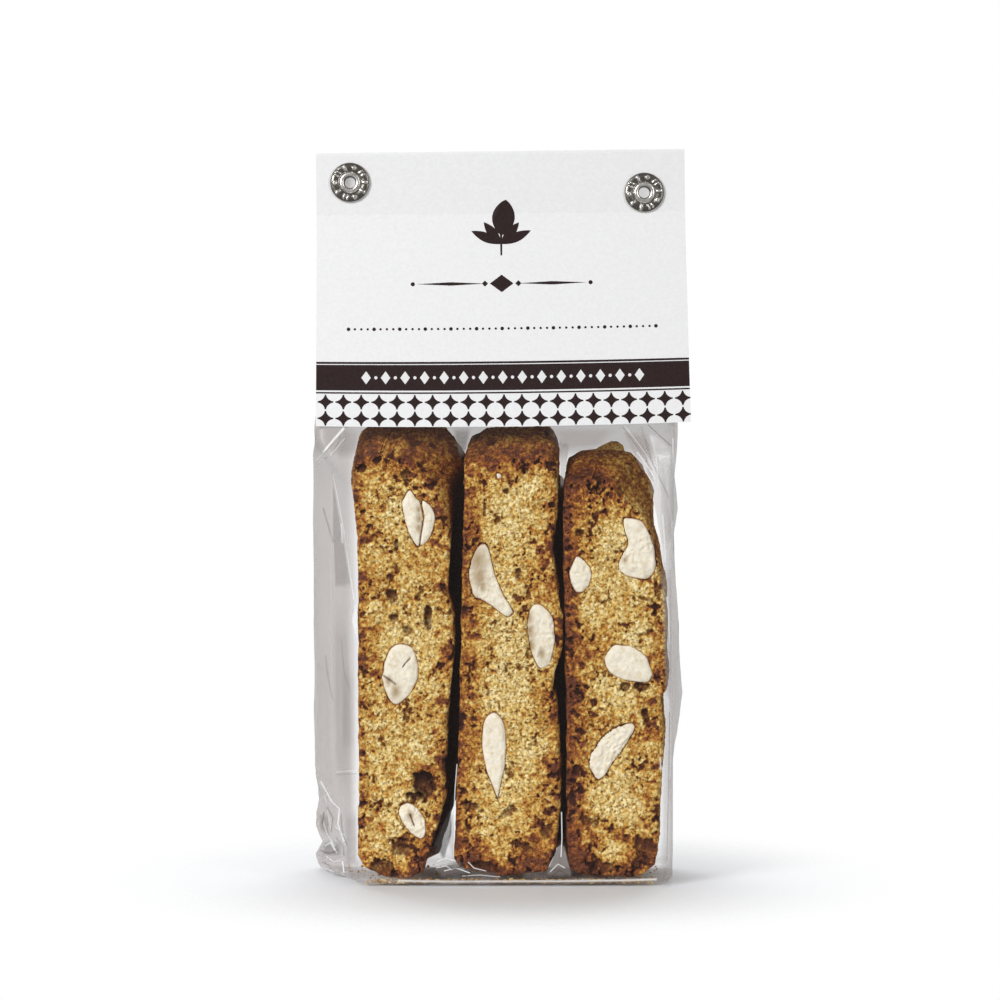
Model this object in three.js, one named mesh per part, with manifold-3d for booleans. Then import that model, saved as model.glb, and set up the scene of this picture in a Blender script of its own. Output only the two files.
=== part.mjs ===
// A clear block-bottom bag of almond biscotti, closed by a folded header card with two hollow rivets.
// Millimetres, +Z up, the front of the pack faces -Y. The origin is the middle of the floor under the pack.
// The bag is one solid out to its film. Inside it stand two rows of three biscotti, cut face outward.

import * as THREE from 'three';
import { mergeVertices } from 'three/addons/utils/BufferGeometryUtils.js';
import Module from 'manifold-3d';

const wasm = await Module();
wasm.setup();

// Driving dimensions of the filled bag
const HALF_DEPTH = 20;
const CONTENT_TOP = 111;
const NECK_BOTTOM = 120;
const BAG_TOP = 188;
const FRONT_LEFT = 38.6;
const FRONT_RIGHT = 44.4;
const NECK_LEFT = 47.4;
const NECK_RIGHT = 46.6;
const SQUARENESS = 9;
const NECK_SQUARENESS = 3;
const BASE_EDGE_RADIUS = 2.4;

// The sides flatten between these heights, from the block shape to the gathered neck
const FLATTEN_FROM = 103;
const FLATTEN_TO = 124;

// Side film flares from the front edge to this share of the half depth behind the middle
const FLARE_START = -1.05;
const FLARE_END = 0.5;

// The lower left corner of the front is drawn back, most at the floor
const CORNER_SETBACK = 7;
const CORNER_HEIGHT = 22;
const CORNER_START = 0.35;
const CORNER_DEPTH_END = 0.4;

// Half width of the bag's loose side film, as height and distance from the middle
const LEFT_OUTLINE = [
  [0, 47.6], [4.3, 49.3], [7.7, 47.2], [12.5, 49.4], [19.8, 48.3], [28.6, 49.7], [112, 49.9], [126, 47.4],
];
const RIGHT_OUTLINE = [[26.2, 45.6], [47.8, 49.2], [91.4, 46.5], [97.4, 47.8], [108.2, 46.6]];

// The film dips between neighbouring biscotti, between these heights
const SLICE_GAPS = [-11.2, 15.9];
const GAP_DIP = 1.3;
const GAP_SPREAD = 2.4;
const GAP_FACE_POWER = 6;
const GAP_START = [2, 10];
const GAP_END = [102, 114];

// Driving dimensions of the header card
const CARD_WIDTH = 97.5;
const CARD_HEIGHT = 72.2;
const CARD_THICKNESS = 0.45;
const CARD_CENTRE = new THREE.Vector3(0.65, 0, 156.4);
const CARD_ROLL = THREE.MathUtils.degToRad(0.85);
const FOLD_RADIUS = 1.3;
const CLAMPED_HEIGHT = 17;
const CARD_SPLAY = 18.5;
const SPLAY_POWER = 1.12;
const CLEARANCE = 0.35;
const NECK_CLEARANCE = 0.55;
const PANEL_STEPS = 12;

// Driving dimensions of the rivets, and their places on the card
const RIVET_RADIUS = 5.3;
const RIVET_BACK_RADIUS = 4.4;
const BARREL_RADIUS = 2.5;
const BORE_RADIUS = 1.45;
const RIM_RADIUS = 2.0;
const RIM_OUTER_RADIUS = 2.75;
const VALLEY_RADIUS = 3.1;
const CREST_RADIUS = 3.8;
const SHOULDER_RADIUS = 4.66;
const RIM_RISE = 0.9;
const VALLEY_RISE = 0.45;
const CREST_RISE = 0.75;
const SHOULDER_RISE = 0.6;
const EDGE_RISE = 0.25;
const BACK_EDGE_RISE = 0.35;
const BACK_RISE = 0.75;
const RIVET_SEGMENTS = 40;
const RIVETS = [
  { name: 'rivet_left', x: -39.8, z: 28.2 },
  { name: 'rivet_right', x: 38.0, z: 24.5 },
];

// Mesh density
const FACE_STEPS = 36;
const SIDE_STEPS = 8;
const BODY_STEPS = 11;
const SHOULDER_STEPS = 4;
const FOLD_STEPS = 8;
const HOLE_SEGMENTS = 24;
const MERGE_DISTANCE = 1e-4;

// Heights of the bag's levels near the base, where its outline turns
const BASE_LEVELS = [0, 0.5, 1.3, 2.4, 4.3, 6, 7.7, 10, 12.5, 16, 19.8, 23, 26.2, 28.6];

const material = (color, roughness, metalness, opacity = 1) =>
  new THREE.MeshStandardMaterial({ color, roughness, metalness, opacity, transparent: opacity < 1 });

const filmMaterial = material(0xcfcac8, 0.12, 0, 0.35);
const cardMaterial = material(0xf1f1f1, 0.55, 0);
const rivetMaterial = material(0x8d8a86, 0.28, 1);

// A closed geometry becomes a solid that can be cut
function toSolid(geometry) {
  const bare = geometry.index ? geometry.toNonIndexed() : geometry.clone();
  for (const name of Object.keys(bare.attributes)) {
    if (name !== 'position') bare.deleteAttribute(name);
  }
  const merged = mergeVertices(bare, MERGE_DISTANCE);
  return new wasm.Manifold(new wasm.Mesh({
    numProp: 3,
    vertProperties: merged.attributes.position.array,
    triVerts: new Uint32Array(merged.index.array),
  }));
}

function toGeometry(solid) {
  const mesh = solid.getMesh();
  const geometry = new THREE.BufferGeometry();
  geometry.setAttribute('position', new THREE.BufferAttribute(new Float32Array(mesh.vertProperties), 3));
  geometry.setIndex(new THREE.BufferAttribute(new Uint32Array(mesh.triVerts), 1));
  geometry.computeVertexNormals();
  return geometry;
}

// The value of an outline list at a height, along straight lines between its points
function outlineAt(outline, height) {
  const above = outline.findIndex(([z]) => z >= height);
  if (above === 0) return outline[0][1];
  if (above < 0) return outline.at(-1)[1];
  const [z0, x0] = outline[above - 1];
  const [z1, x1] = outline[above];
  return THREE.MathUtils.mapLinear(height, z0, z1, x0, x1);
}

// Height over the card's centre at which its panels start to splay
const BEND = CARD_HEIGHT / 2 - CLAMPED_HEIGHT;

// Distance of the card's outer face from its middle plane, at a height over the card's centre
function cardFace(height) {
  const share = Math.max(0, (BEND - height) / (BEND + CARD_HEIGHT / 2));
  return FOLD_RADIUS + (CARD_SPLAY - FOLD_RADIUS) * share ** SPLAY_POWER;
}

// Half depth of the bag: full round the biscotti, then as deep as the card leaves room for
function bagHalfDepth(z) {
  const inCard = (height) => cardFace(height - CARD_CENTRE.z) - CARD_THICKNESS - NECK_CLEARANCE;
  if (z >= NECK_BOTTOM) return inCard(z);
  if (z <= CONTENT_TOP) return HALF_DEPTH;
  return THREE.MathUtils.mapLinear(z, CONTENT_TOP, NECK_BOTTOM, HALF_DEPTH, inCard(NECK_BOTTOM));
}

// How far the film dips in between the biscotti at a place on the front or the back
function dip(x, z) {
  const { smoothstep } = THREE.MathUtils;
  const fade = smoothstep(z, ...GAP_START) * (1 - smoothstep(z, ...GAP_END));
  const dips = SLICE_GAPS.map((gap) => Math.exp(-(((x - gap) / GAP_SPREAD) ** 2)));
  return GAP_DIP * fade * Math.max(...dips);
}

// Points round the border of a square of half side 1, with the front and back more finely divided
function squareBorder() {
  const border = [];
  const edge = (steps, from, to) => {
    for (let i = 0; i < steps; i += 1) {
      border.push([from[0] + ((to[0] - from[0]) * i) / steps, from[1] + ((to[1] - from[1]) * i) / steps]);
    }
  };
  edge(FACE_STEPS, [-1, -1], [1, -1]);
  edge(SIDE_STEPS, [1, -1], [1, 1]);
  edge(FACE_STEPS, [1, 1], [-1, 1]);
  edge(SIDE_STEPS, [-1, 1], [-1, -1]);
  return border;
}

// How far the rounded base edge draws a level in
function baseInset(z) {
  const below = Math.max(0, BASE_EDGE_RADIUS - z);
  return BASE_EDGE_RADIUS - Math.sqrt(BASE_EDGE_RADIUS ** 2 - below ** 2);
}

// One level of the bag: a rounded rectangle whose side walls flare out towards the back
function bagRing(z, border) {
  const { smoothstep, lerp } = THREE.MathUtils;
  const flat = smoothstep(z, FLATTEN_FROM, FLATTEN_TO);
  const power = lerp(SQUARENESS, NECK_SQUARENESS, smoothstep(z, NECK_BOTTOM, BAG_TOP));
  const inset = baseInset(z);
  const setback = CORNER_SETBACK * (1 - smoothstep(z, 0, CORNER_HEIGHT));
  const depth = bagHalfDepth(z) - inset;
  return border.map(([sx, sy]) => {
    const scale = (Math.abs(sx) ** power + Math.abs(sy) ** power) ** (-1 / power);
    const across = sx * scale;
    const deep = sy * scale;
    const flare = lerp(smoothstep(deep, FLARE_START, FLARE_END), 1, flat);
    const left = lerp(lerp(FRONT_LEFT, NECK_LEFT, flat), outlineAt(LEFT_OUTLINE, z), flare);
    const right = lerp(lerp(FRONT_RIGHT, NECK_RIGHT, flat), outlineAt(RIGHT_OUTLINE, z), flare);
    const x = across * ((across < 0 ? left : right) - inset);
    const corner = smoothstep(-across, CORNER_START, 1) ** 2 * (1 - smoothstep(deep, -1, CORNER_DEPTH_END));
    const y = deep * (depth - dip(x, z) * Math.abs(deep) ** GAP_FACE_POWER) + setback * corner;
    return [x, y, z];
  });
}

// Heights of the bag's levels, closer together where its outline turns
function bagLevels() {
  const levels = [...BASE_LEVELS];
  const climb = (to, count) => {
    const from = levels.at(-1);
    for (let i = 1; i <= count; i += 1) levels.push(THREE.MathUtils.lerp(from, to, i / count));
  };
  climb(CONTENT_TOP, BODY_STEPS);
  climb(NECK_BOTTOM, SHOULDER_STEPS);
  climb(CARD_CENTRE.z + BEND, PANEL_STEPS);
  levels.push(BAG_TOP);
  return levels;
}

// The rings become a closed skin, with a fan over the base and one over the top
function bagSkin() {
  const border = squareBorder();
  const rings = bagLevels().map((z) => bagRing(z, border));
  const count = border.length;
  const points = rings.flat(2);
  const faces = [];
  for (let ring = 0; ring + 1 < rings.length; ring += 1) {
    for (let i = 0; i < count; i += 1) {
      const a = ring * count + i;
      const b = ring * count + ((i + 1) % count);
      faces.push(a, b, b + count, a, b + count, a + count);
    }
  }
  const base = points.length / 3;
  points.push(0, 0, 0, 0, 0, BAG_TOP);
  const last = (rings.length - 1) * count;
  for (let i = 0; i < count; i += 1) {
    const next = (i + 1) % count;
    faces.push(base, next, i, base + 1, last + i, last + next);
  }
  const geometry = new THREE.BufferGeometry();
  geometry.setAttribute('position', new THREE.Float32BufferAttribute(points, 3));
  geometry.setIndex(faces);
  return geometry;
}

// A cylinder along Y that clears a rivet's barrel
function rivetHole({ x, z }, matrix) {
  const radius = BARREL_RADIUS + CLEARANCE;
  const cylinder = new THREE.CylinderGeometry(radius, radius, 4 * CARD_SPLAY, HOLE_SEGMENTS);
  cylinder.translate(x, 0, z);
  if (matrix) cylinder.applyMatrix4(matrix);
  return toSolid(cylinder);
}

// The card's section: two panels that splay from a round fold, as points of the Y-Z plane
function cardSection() {
  const heights = [];
  for (let i = 0; i <= PANEL_STEPS; i += 1) {
    heights.push(THREE.MathUtils.lerp(-CARD_HEIGHT / 2, BEND, i / PANEL_STEPS));
  }
  const foldCentre = CARD_HEIGHT / 2 - FOLD_RADIUS;
  const side = (offset) => {
    const front = heights.map((h) => [-(cardFace(h) - offset), h]);
    const fold = [];
    for (let i = 0; i <= FOLD_STEPS; i += 1) {
      const angle = Math.PI - (Math.PI * i) / FOLD_STEPS;
      const radius = FOLD_RADIUS - offset;
      fold.push([radius * Math.cos(angle), foldCentre + radius * Math.sin(angle)]);
    }
    const back = front.map(([y, h]) => [-y, h]).reverse();
    return [...front, ...fold, ...back];
  };
  return [...side(0), ...side(CARD_THICKNESS).reverse()];
}

function makeCard() {
  const outline = cardSection().map(([y, z]) => new THREE.Vector2(y, z));
  const sheet = new THREE.ExtrudeGeometry(new THREE.Shape(outline), {
    depth: CARD_WIDTH, steps: 1, bevelEnabled: false,
  });
  const turn = new THREE.Matrix4().makeBasis(
    new THREE.Vector3(0, 1, 0), new THREE.Vector3(0, 0, 1), new THREE.Vector3(1, 0, 0),
  );
  sheet.applyMatrix4(turn);
  sheet.translate(-CARD_WIDTH / 2, 0, 0);
  let solid = toSolid(sheet);
  for (const rivet of RIVETS) solid = solid.subtract(rivetHole(rivet));
  const card = new THREE.Mesh(toGeometry(solid), cardMaterial);
  card.name = 'header_card';
  return card;
}

// A hollow rivet turned about Y: domed flange and raised rim in front, flat rolled flange behind
function makeRivet({ name, x, z }) {
  const front = -(FOLD_RADIUS + CLEARANCE);
  const back = FOLD_RADIUS + CLEARANCE;
  const profile = [
    [BORE_RADIUS, back + BACK_EDGE_RISE],
    [BORE_RADIUS, front - VALLEY_RISE],
    [RIM_RADIUS, front - RIM_RISE],
    [RIM_OUTER_RADIUS, front - RIM_RISE],
    [VALLEY_RADIUS, front - VALLEY_RISE],
    [CREST_RADIUS, front - CREST_RISE],
    [SHOULDER_RADIUS, front - SHOULDER_RISE],
    [RIVET_RADIUS, front - EDGE_RISE],
    [RIVET_RADIUS, front],
    [BARREL_RADIUS, front],
    [BARREL_RADIUS, back],
    [RIVET_BACK_RADIUS, back],
    [RIVET_BACK_RADIUS, back + BACK_EDGE_RISE],
    [CREST_RADIUS, back + BACK_RISE],
    [RIM_RADIUS, back + BACK_RISE],
  ];
  const outline = [...profile, profile[0]].map(([r, y]) => new THREE.Vector2(r, y));
  const rivet = new THREE.Mesh(new THREE.LatheGeometry(outline, RIVET_SEGMENTS), rivetMaterial);
  rivet.name = name;
  rivet.position.set(x, 0, z);
  return rivet;
}

const header = new THREE.Group();
header.position.copy(CARD_CENTRE);
header.rotation.y = -CARD_ROLL;
header.add(makeCard());
for (const rivet of RIVETS) header.add(makeRivet(rivet));
header.updateMatrix();

function makeBag() {
  let solid = toSolid(bagSkin());
  for (const rivet of RIVETS) solid = solid.subtract(rivetHole(rivet, header.matrix));
  const bag = new THREE.Mesh(toGeometry(solid), filmMaterial);
  bag.name = 'bag';
  return bag;
}

const pack = new THREE.Group();
pack.add(makeBag(), header);

export default pack;
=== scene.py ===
"""Looks of a clear bag of almond biscotti under a folded header card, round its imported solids.

Lengths are millimetres of the frame until a mesh is made, which takes metres. The front faces -Y.
"""

import logging
import math
from dataclasses import dataclass, field
from enum import Enum
from typing import Sequence, Union

import bpy
import numpy as np
from mathutils import Matrix, Vector
from mathutils.bvhtree import BVHTree


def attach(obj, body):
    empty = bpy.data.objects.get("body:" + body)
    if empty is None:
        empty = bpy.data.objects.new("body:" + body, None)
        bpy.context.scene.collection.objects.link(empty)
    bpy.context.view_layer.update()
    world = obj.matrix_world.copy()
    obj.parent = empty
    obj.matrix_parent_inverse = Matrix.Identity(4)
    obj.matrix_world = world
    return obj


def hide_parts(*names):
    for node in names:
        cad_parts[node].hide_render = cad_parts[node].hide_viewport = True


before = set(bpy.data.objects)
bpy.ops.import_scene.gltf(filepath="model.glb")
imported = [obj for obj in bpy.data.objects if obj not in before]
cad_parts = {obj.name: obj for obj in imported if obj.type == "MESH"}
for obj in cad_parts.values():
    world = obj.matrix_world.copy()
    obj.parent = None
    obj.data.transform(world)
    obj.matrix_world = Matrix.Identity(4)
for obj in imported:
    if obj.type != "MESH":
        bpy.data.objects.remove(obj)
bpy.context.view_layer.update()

MM = 0.001
BODY = "root"
LOG = logging.getLogger("biscotti_pack")

Rgb = tuple[float, float, float]
Outline = tuple[tuple[float, float], ...]
Points = np.ndarray
Shell = tuple[Points, list[list[int]]]
Piece = bpy.types.Object
Material = bpy.types.Material
Socket = bpy.types.NodeSocket
Value = Union[float, Sequence[float], Socket]
Inputs = dict[Union[str, int], Value]


def rise(value: np.ndarray | float, low: float, high: float) -> np.ndarray:
    """A smooth rise from 0 at low to 1 at high."""
    share = np.clip((np.asarray(value, float) - low) / (high - low), 0.0, 1.0)
    return share * share * (3.0 - 2.0 * share)


def fall(value: np.ndarray | float, low: float, high: float) -> np.ndarray:
    """A smooth fall from 1 at low to 0 at high."""
    return 1.0 - rise(value, low, high)


def srgb(red: int, green: int, blue: int) -> Rgb:
    """A screen colour from 0 to 255 as linear numbers."""
    shares = (channel / 255.0 for channel in (red, green, blue))
    return tuple(s / 12.92 if s <= 0.04045 else ((s + 0.055) / 1.055) ** 2.4 for s in shares)


@dataclass(frozen=True)
class Grain:
    """Repeatable noise over points in millimetres, from a seed.

    Callers shift the points by a number of their own, so that no two patterns match.
    """

    AXES = (0x8DA6B343, 0xD8163841, 0xCB1AB31F)
    ROUNDS = ((15, 0x2C1B3C6D), (12, 0x297A2D39), (15, 0x2545F491))
    SEED_STEP = 7919
    SALT_STEP = 104729

    seed: int

    def _draw(self, cells: np.ndarray, salt: int) -> np.ndarray:
        """Even random numbers for whole-number cells.

        Args:
            cells: The cells, one row each.
            salt: A number that tells one use from another.

        Returns:
            A number from 0 to 1 for each cell.
        """
        wide = cells.astype(np.int64).astype(np.uint32)
        mixed = np.uint32(self.seed * self.SEED_STEP + salt * self.SALT_STEP)
        for axis, factor in enumerate(self.AXES):
            mixed = mixed ^ wide[..., axis] * np.uint32(factor)
        for shift, factor in self.ROUNDS:
            mixed = (mixed ^ (mixed >> np.uint32(shift))) * np.uint32(factor)
        return (mixed ^ (mixed >> np.uint32(16))) / 2.0 ** 32

    def smooth(self, points: Points, size: float) -> np.ndarray:
        """Smooth noise from -1 to 1.

        Args:
            points: Places, one row each.
            size: Width of its bumps.

        Returns:
            One number for each place.
        """
        scaled = points / size
        low = np.floor(scaled)
        part = scaled - low
        part = part * part * (3.0 - 2.0 * part)
        total = np.zeros(len(points))
        for corner in np.ndindex(2, 2, 2):
            step = np.array(corner)
            weight = np.prod(np.where(step == 1, part, 1.0 - part), axis=1)
            total += weight * self._draw(low + step, 1)
        return total * 2.0 - 1.0

    def layered(self, points: Points, size: float, layers: int = 3) -> np.ndarray:
        """Smooth noise with finer layers on top, about -1 to 1.

        Args:
            points: Places, one row each.
            size: Width of its largest bumps.
            layers: How many layers, each half the last in size and strength.

        Returns:
            One number for each place.
        """
        total = np.zeros(len(points))
        for layer in range(layers):
            shrink = 2.0 ** layer
            total += self.smooth(points + 17.3 * layer, size / shrink) / shrink
        return total / 1.6

    def cells(self, points: Points, size: float) -> tuple[np.ndarray, np.ndarray, np.ndarray]:
        """Irregular cells, as of foam.

        Args:
            points: Places, one row each.
            size: Width of a cell.

        Returns:
            Distance to the nearest cell centre, distance to the next one, both as shares of size,
            and the nearest cell's own random number.
        """
        scaled = points / size
        base = np.floor(scaled)
        nearest = np.full(len(points), 9.0)
        second = np.full(len(points), 9.0)
        pick = np.zeros(len(points))
        for corner in np.ndindex(3, 3, 3):
            cell = base + np.array(corner) - 1.0
            place = np.stack([self._draw(cell, salt) for salt in (2, 3, 4)], axis=1)
            distance = np.linalg.norm(scaled - cell - place, axis=1)
            closer = distance < nearest
            second = np.where(closer, nearest, np.minimum(second, distance))
            pick = np.where(closer, self._draw(cell, 5), pick)
            nearest = np.where(closer, distance, nearest)
        return nearest, second, pick


@dataclass(frozen=True)
class PhotoView:
    """The photograph's camera, which stands on the floor's level line in front of the pack."""

    place: tuple[float, float, float] = (0.2, -900.0, 123.6)
    pitch_down: float = math.radians(1.5)
    focal_px: float = 3390.0
    image_px: float = 1000.0
    sensor: float = 36.0
    clip: tuple[float, float] = (50.0, 20000.0)

    def on_plane(self, across_px: float, down_px: float, depth: float) -> tuple[float, float]:
        """Where a pixel of the photograph falls on an upright plane across the view.

        Args:
            across_px: The pixel's place from the left.
            down_px: The pixel's place from the top.
            depth: The plane's Y.

        Returns:
            X and Z on that plane.
        """
        half = self.image_px / 2.0
        forward = Vector((0.0, math.cos(self.pitch_down), -math.sin(self.pitch_down)))
        upward = Vector((0.0, math.sin(self.pitch_down), math.cos(self.pitch_down)))
        ray = self.focal_px * forward + (half - down_px) * upward + (across_px - half) * Vector((1, 0, 0))
        share = (depth - self.place[1]) / ray.y
        return self.place[0] + share * ray.x, self.place[2] + share * ray.z

    def build(self) -> None:
        """Makes the camera and gives it to the scene."""
        data = bpy.data.cameras.new("camera")
        data.sensor_width = self.sensor
        data.lens = self.focal_px * self.sensor / self.image_px
        data.clip_start, data.clip_end = (distance * MM for distance in self.clip)
        camera = bpy.data.objects.new("camera", data)
        camera.location = Vector(self.place) * MM
        camera.rotation_euler = (math.pi / 2.0 - self.pitch_down, 0.0, 0.0)
        bpy.context.scene.collection.objects.link(camera)
        bpy.context.scene.camera = camera


PHOTO = PhotoView()


def make_piece(
    name: str, points: Points, faces: Sequence[Sequence[int]], material: Material,
    slot: str, values: dict[str, np.ndarray] | None = None, smooth: bool = True,
) -> Piece:
    """A mesh object that rides on the pack.

    Args:
        name: The piece's name.
        points: Its corners in millimetres.
        faces: Corner numbers of each face.
        material: Its finish.
        slot: The record's material slot, which is not used.
        values: Named numbers, one for each corner, that the finish reads.
        smooth: Whether it is shaded smooth.

    Returns:
        The new object.
    """
    mesh = bpy.data.meshes.new(name)
    mesh.from_pydata((np.asarray(points) * MM).tolist(), [], [list(map(int, face)) for face in faces])
    for key, numbers in (values or {}).items():
        layer = mesh.attributes.new(key, "FLOAT", "POINT")
        layer.data.foreach_set("value", np.asarray(numbers, np.float32))
    mesh.polygons.foreach_set("use_smooth", [smooth] * len(mesh.polygons))
    mesh.materials.append(material)
    mesh.update()
    piece = bpy.data.objects.new(name, mesh)
    bpy.context.scene.collection.objects.link(piece)
    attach(piece, BODY)
    return piece


def grid_faces(rows: int, columns: int, first: int = 0, closed: bool = False) -> np.ndarray:
    """Quads of a grid of points that is stored row by row.

    Args:
        rows: Rows of points.
        columns: Points in a row.
        first: Number of the grid's first point.
        closed: Whether each row joins up with its own start.

    Returns:
        One row of four corner numbers for each quad.
    """
    last = columns if closed else columns - 1
    row, column = np.meshgrid(np.arange(rows - 1), np.arange(last), indexing="ij")
    after = (column + 1) % columns
    corners = [row * columns + column, row * columns + after]
    corners += [(row + 1) * columns + after, (row + 1) * columns + column]
    return np.stack([c.ravel() for c in corners], axis=1) + first


def border_of(rows: int, columns: int) -> np.ndarray:
    """Numbers of a grid's border points in order, from the first row's start.

    Args:
        rows: Rows of points.
        columns: Points in a row.

    Returns:
        The point numbers.
    """
    bottom = np.arange(columns - 1)
    right = np.arange(rows - 1) * columns + columns - 1
    top = (rows - 1) * columns + np.arange(columns - 1, 0, -1)
    left = np.arange(rows - 1, 0, -1) * columns
    return np.concatenate([bottom, right, top, left])


def join_rings(first: np.ndarray, second: np.ndarray) -> np.ndarray:
    """Quads between two closed rings of point numbers."""
    return np.stack([np.roll(first, -1), first, second, np.roll(second, -1)], axis=1)


def merged(parts: Sequence[Shell]) -> Shell:
    """Several sets of points and faces as one.

    Args:
        parts: Each set's points and faces.

    Returns:
        All points, and all faces with their corners renumbered.
    """
    faces, total = [], 0
    for points, own_faces in parts:
        faces += [[corner + total for corner in face] for face in own_faces]
        total += len(points)
    return np.concatenate([points for points, _ in parts]), faces


class Graph:
    """A material's node tree, with short calls that add and join nodes."""

    # Numbers of a mix node's colour sockets: factor, first and second colour, and result.
    MIX_INPUTS = (0, 6, 7)
    MIX_RESULT = 2

    def __init__(self, name: str) -> None:
        """Starts an empty material.

        Args:
            name: Its name.
        """
        self.material = bpy.data.materials.new(name)
        self.material.use_nodes = True
        self.nodes = self.material.node_tree.nodes
        self.links = self.material.node_tree.links
        self.nodes.clear()

    def node(self, kind: str, inputs: Inputs | None = None, **settings: object) -> bpy.types.Node:
        """Adds a node.

        Args:
            kind: Its type's name, without the common start of shader nodes' names.
            inputs: Sockets by name or number, each with a constant or a socket to join.
            **settings: The node's own properties.

        Returns:
            The new node.
        """
        node = self.nodes.new("ShaderNode" + kind)
        for key, value in settings.items():
            setattr(node, key, value)
        for key, value in (inputs or {}).items():
            if isinstance(value, Socket):
                self.links.new(value, node.inputs[key])
            else:
                node.inputs[key].default_value = value
        return node

    def value(self, name: str) -> Socket:
        """The named number that the mesh carries for each corner."""
        return self.node("Attribute", attribute_name=name).outputs["Fac"]

    def place(self) -> Socket:
        """The surface's place on the pack, in metres."""
        return self.node("TexCoord").outputs["Object"]

    def squashed(self, deep: float) -> Socket:
        """The surface's place with Y made smaller by a factor, so that patterns stretch along it."""
        scale = {0: self.place(), 1: (1.0, deep, 1.0)}
        return self.node("VectorMath", scale, operation="MULTIPLY").outputs["Vector"]

    def noise(self, width: float, detail: float = 2.0, rough: float = 0.5, deep: float = 1.0) -> Socket:
        """Noise from 0 to 1.

        Args:
            width: Width of its bumps in millimetres.
            detail: Layers of finer noise.
            rough: Strength of the finer layers.
            deep: How often it changes along Y, as a share of how often it changes otherwise.

        Returns:
            Its socket.
        """
        place = self.squashed(deep)
        inputs = {"Vector": place, "Scale": 1.0 / (width * MM), "Detail": detail, "Roughness": rough}
        return self.node("TexNoise", inputs).outputs["Fac"]

    def grains(self, width: float, deep: float) -> tuple[Socket, Socket]:
        """Distance from the middle of the nearest of packed grains, and that grain's own tone."""
        node = self.node("TexVoronoi", {"Vector": self.squashed(deep), "Scale": 1.0 / (width * MM)})
        return node.outputs["Distance"], node.outputs["Color"]

    def ramp(self, factor: Socket, stops: Sequence[tuple[float, Rgb]]) -> Socket:
        """A colour that goes through stops as a factor rises.

        Args:
            factor: The factor's socket.
            stops: Each stop's factor and colour.

        Returns:
            The colour's socket.
        """
        node = self.node("ValToRGB", {"Fac": factor})
        elements = node.color_ramp.elements
        while len(elements) < len(stops):
            elements.new(0.5)
        for element, (position, colour) in zip(elements, stops):
            element.position = position
            element.color = (*colour, 1.0)
        return node.outputs["Color"]

    def blend(self, factor: Value, first: Value, second: Value, mode: str = "MIX") -> Socket:
        """Two colours mixed.

        Args:
            factor: Share of the second colour.
            first: First colour.
            second: Second colour.
            mode: How the second is laid over the first.

        Returns:
            The mixed colour's socket.
        """
        node = self.node("Mix", data_type="RGBA", blend_type=mode, clamp_factor=True)
        for number, value in zip(self.MIX_INPUTS, (factor, first, second)):
            socket = node.inputs[number]
            if isinstance(value, Socket):
                self.links.new(value, socket)
            else:
                socket.default_value = value if isinstance(value, float) else (*value, 1.0)
        return node.outputs[self.MIX_RESULT]

    def math(self, operation: str, first: Value, second: Value = 0.0) -> Socket:
        """The result of one sum on two numbers."""
        return self.node("Math", {0: first, 1: second}, operation=operation).outputs[0]

    def bump(self, height: Socket, depth: float, strength: float) -> Socket:
        """The normal of fine relief, from its height, its depth in millimetres and its strength."""
        inputs = {"Height": height, "Distance": depth * MM, "Strength": strength}
        return self.node("Bump", inputs).outputs["Normal"]

    def finish(self, colour: Value, rough: Value, shine: float = 0.5, **others: Value) -> Material:
        """Ends the material with one principled shader.

        Args:
            colour: Its base colour.
            rough: Its roughness.
            shine: Its specular level.
            **others: More of the shader's inputs, by name.

        Returns:
            The material.
        """
        inputs = {"Base Color": colour, "Roughness": rough, "Specular IOR Level": shine, **others}
        shader = self.node("BsdfPrincipled", inputs)
        self.node("OutputMaterial", {"Surface": shader.outputs["BSDF"]})
        return self.material


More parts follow.
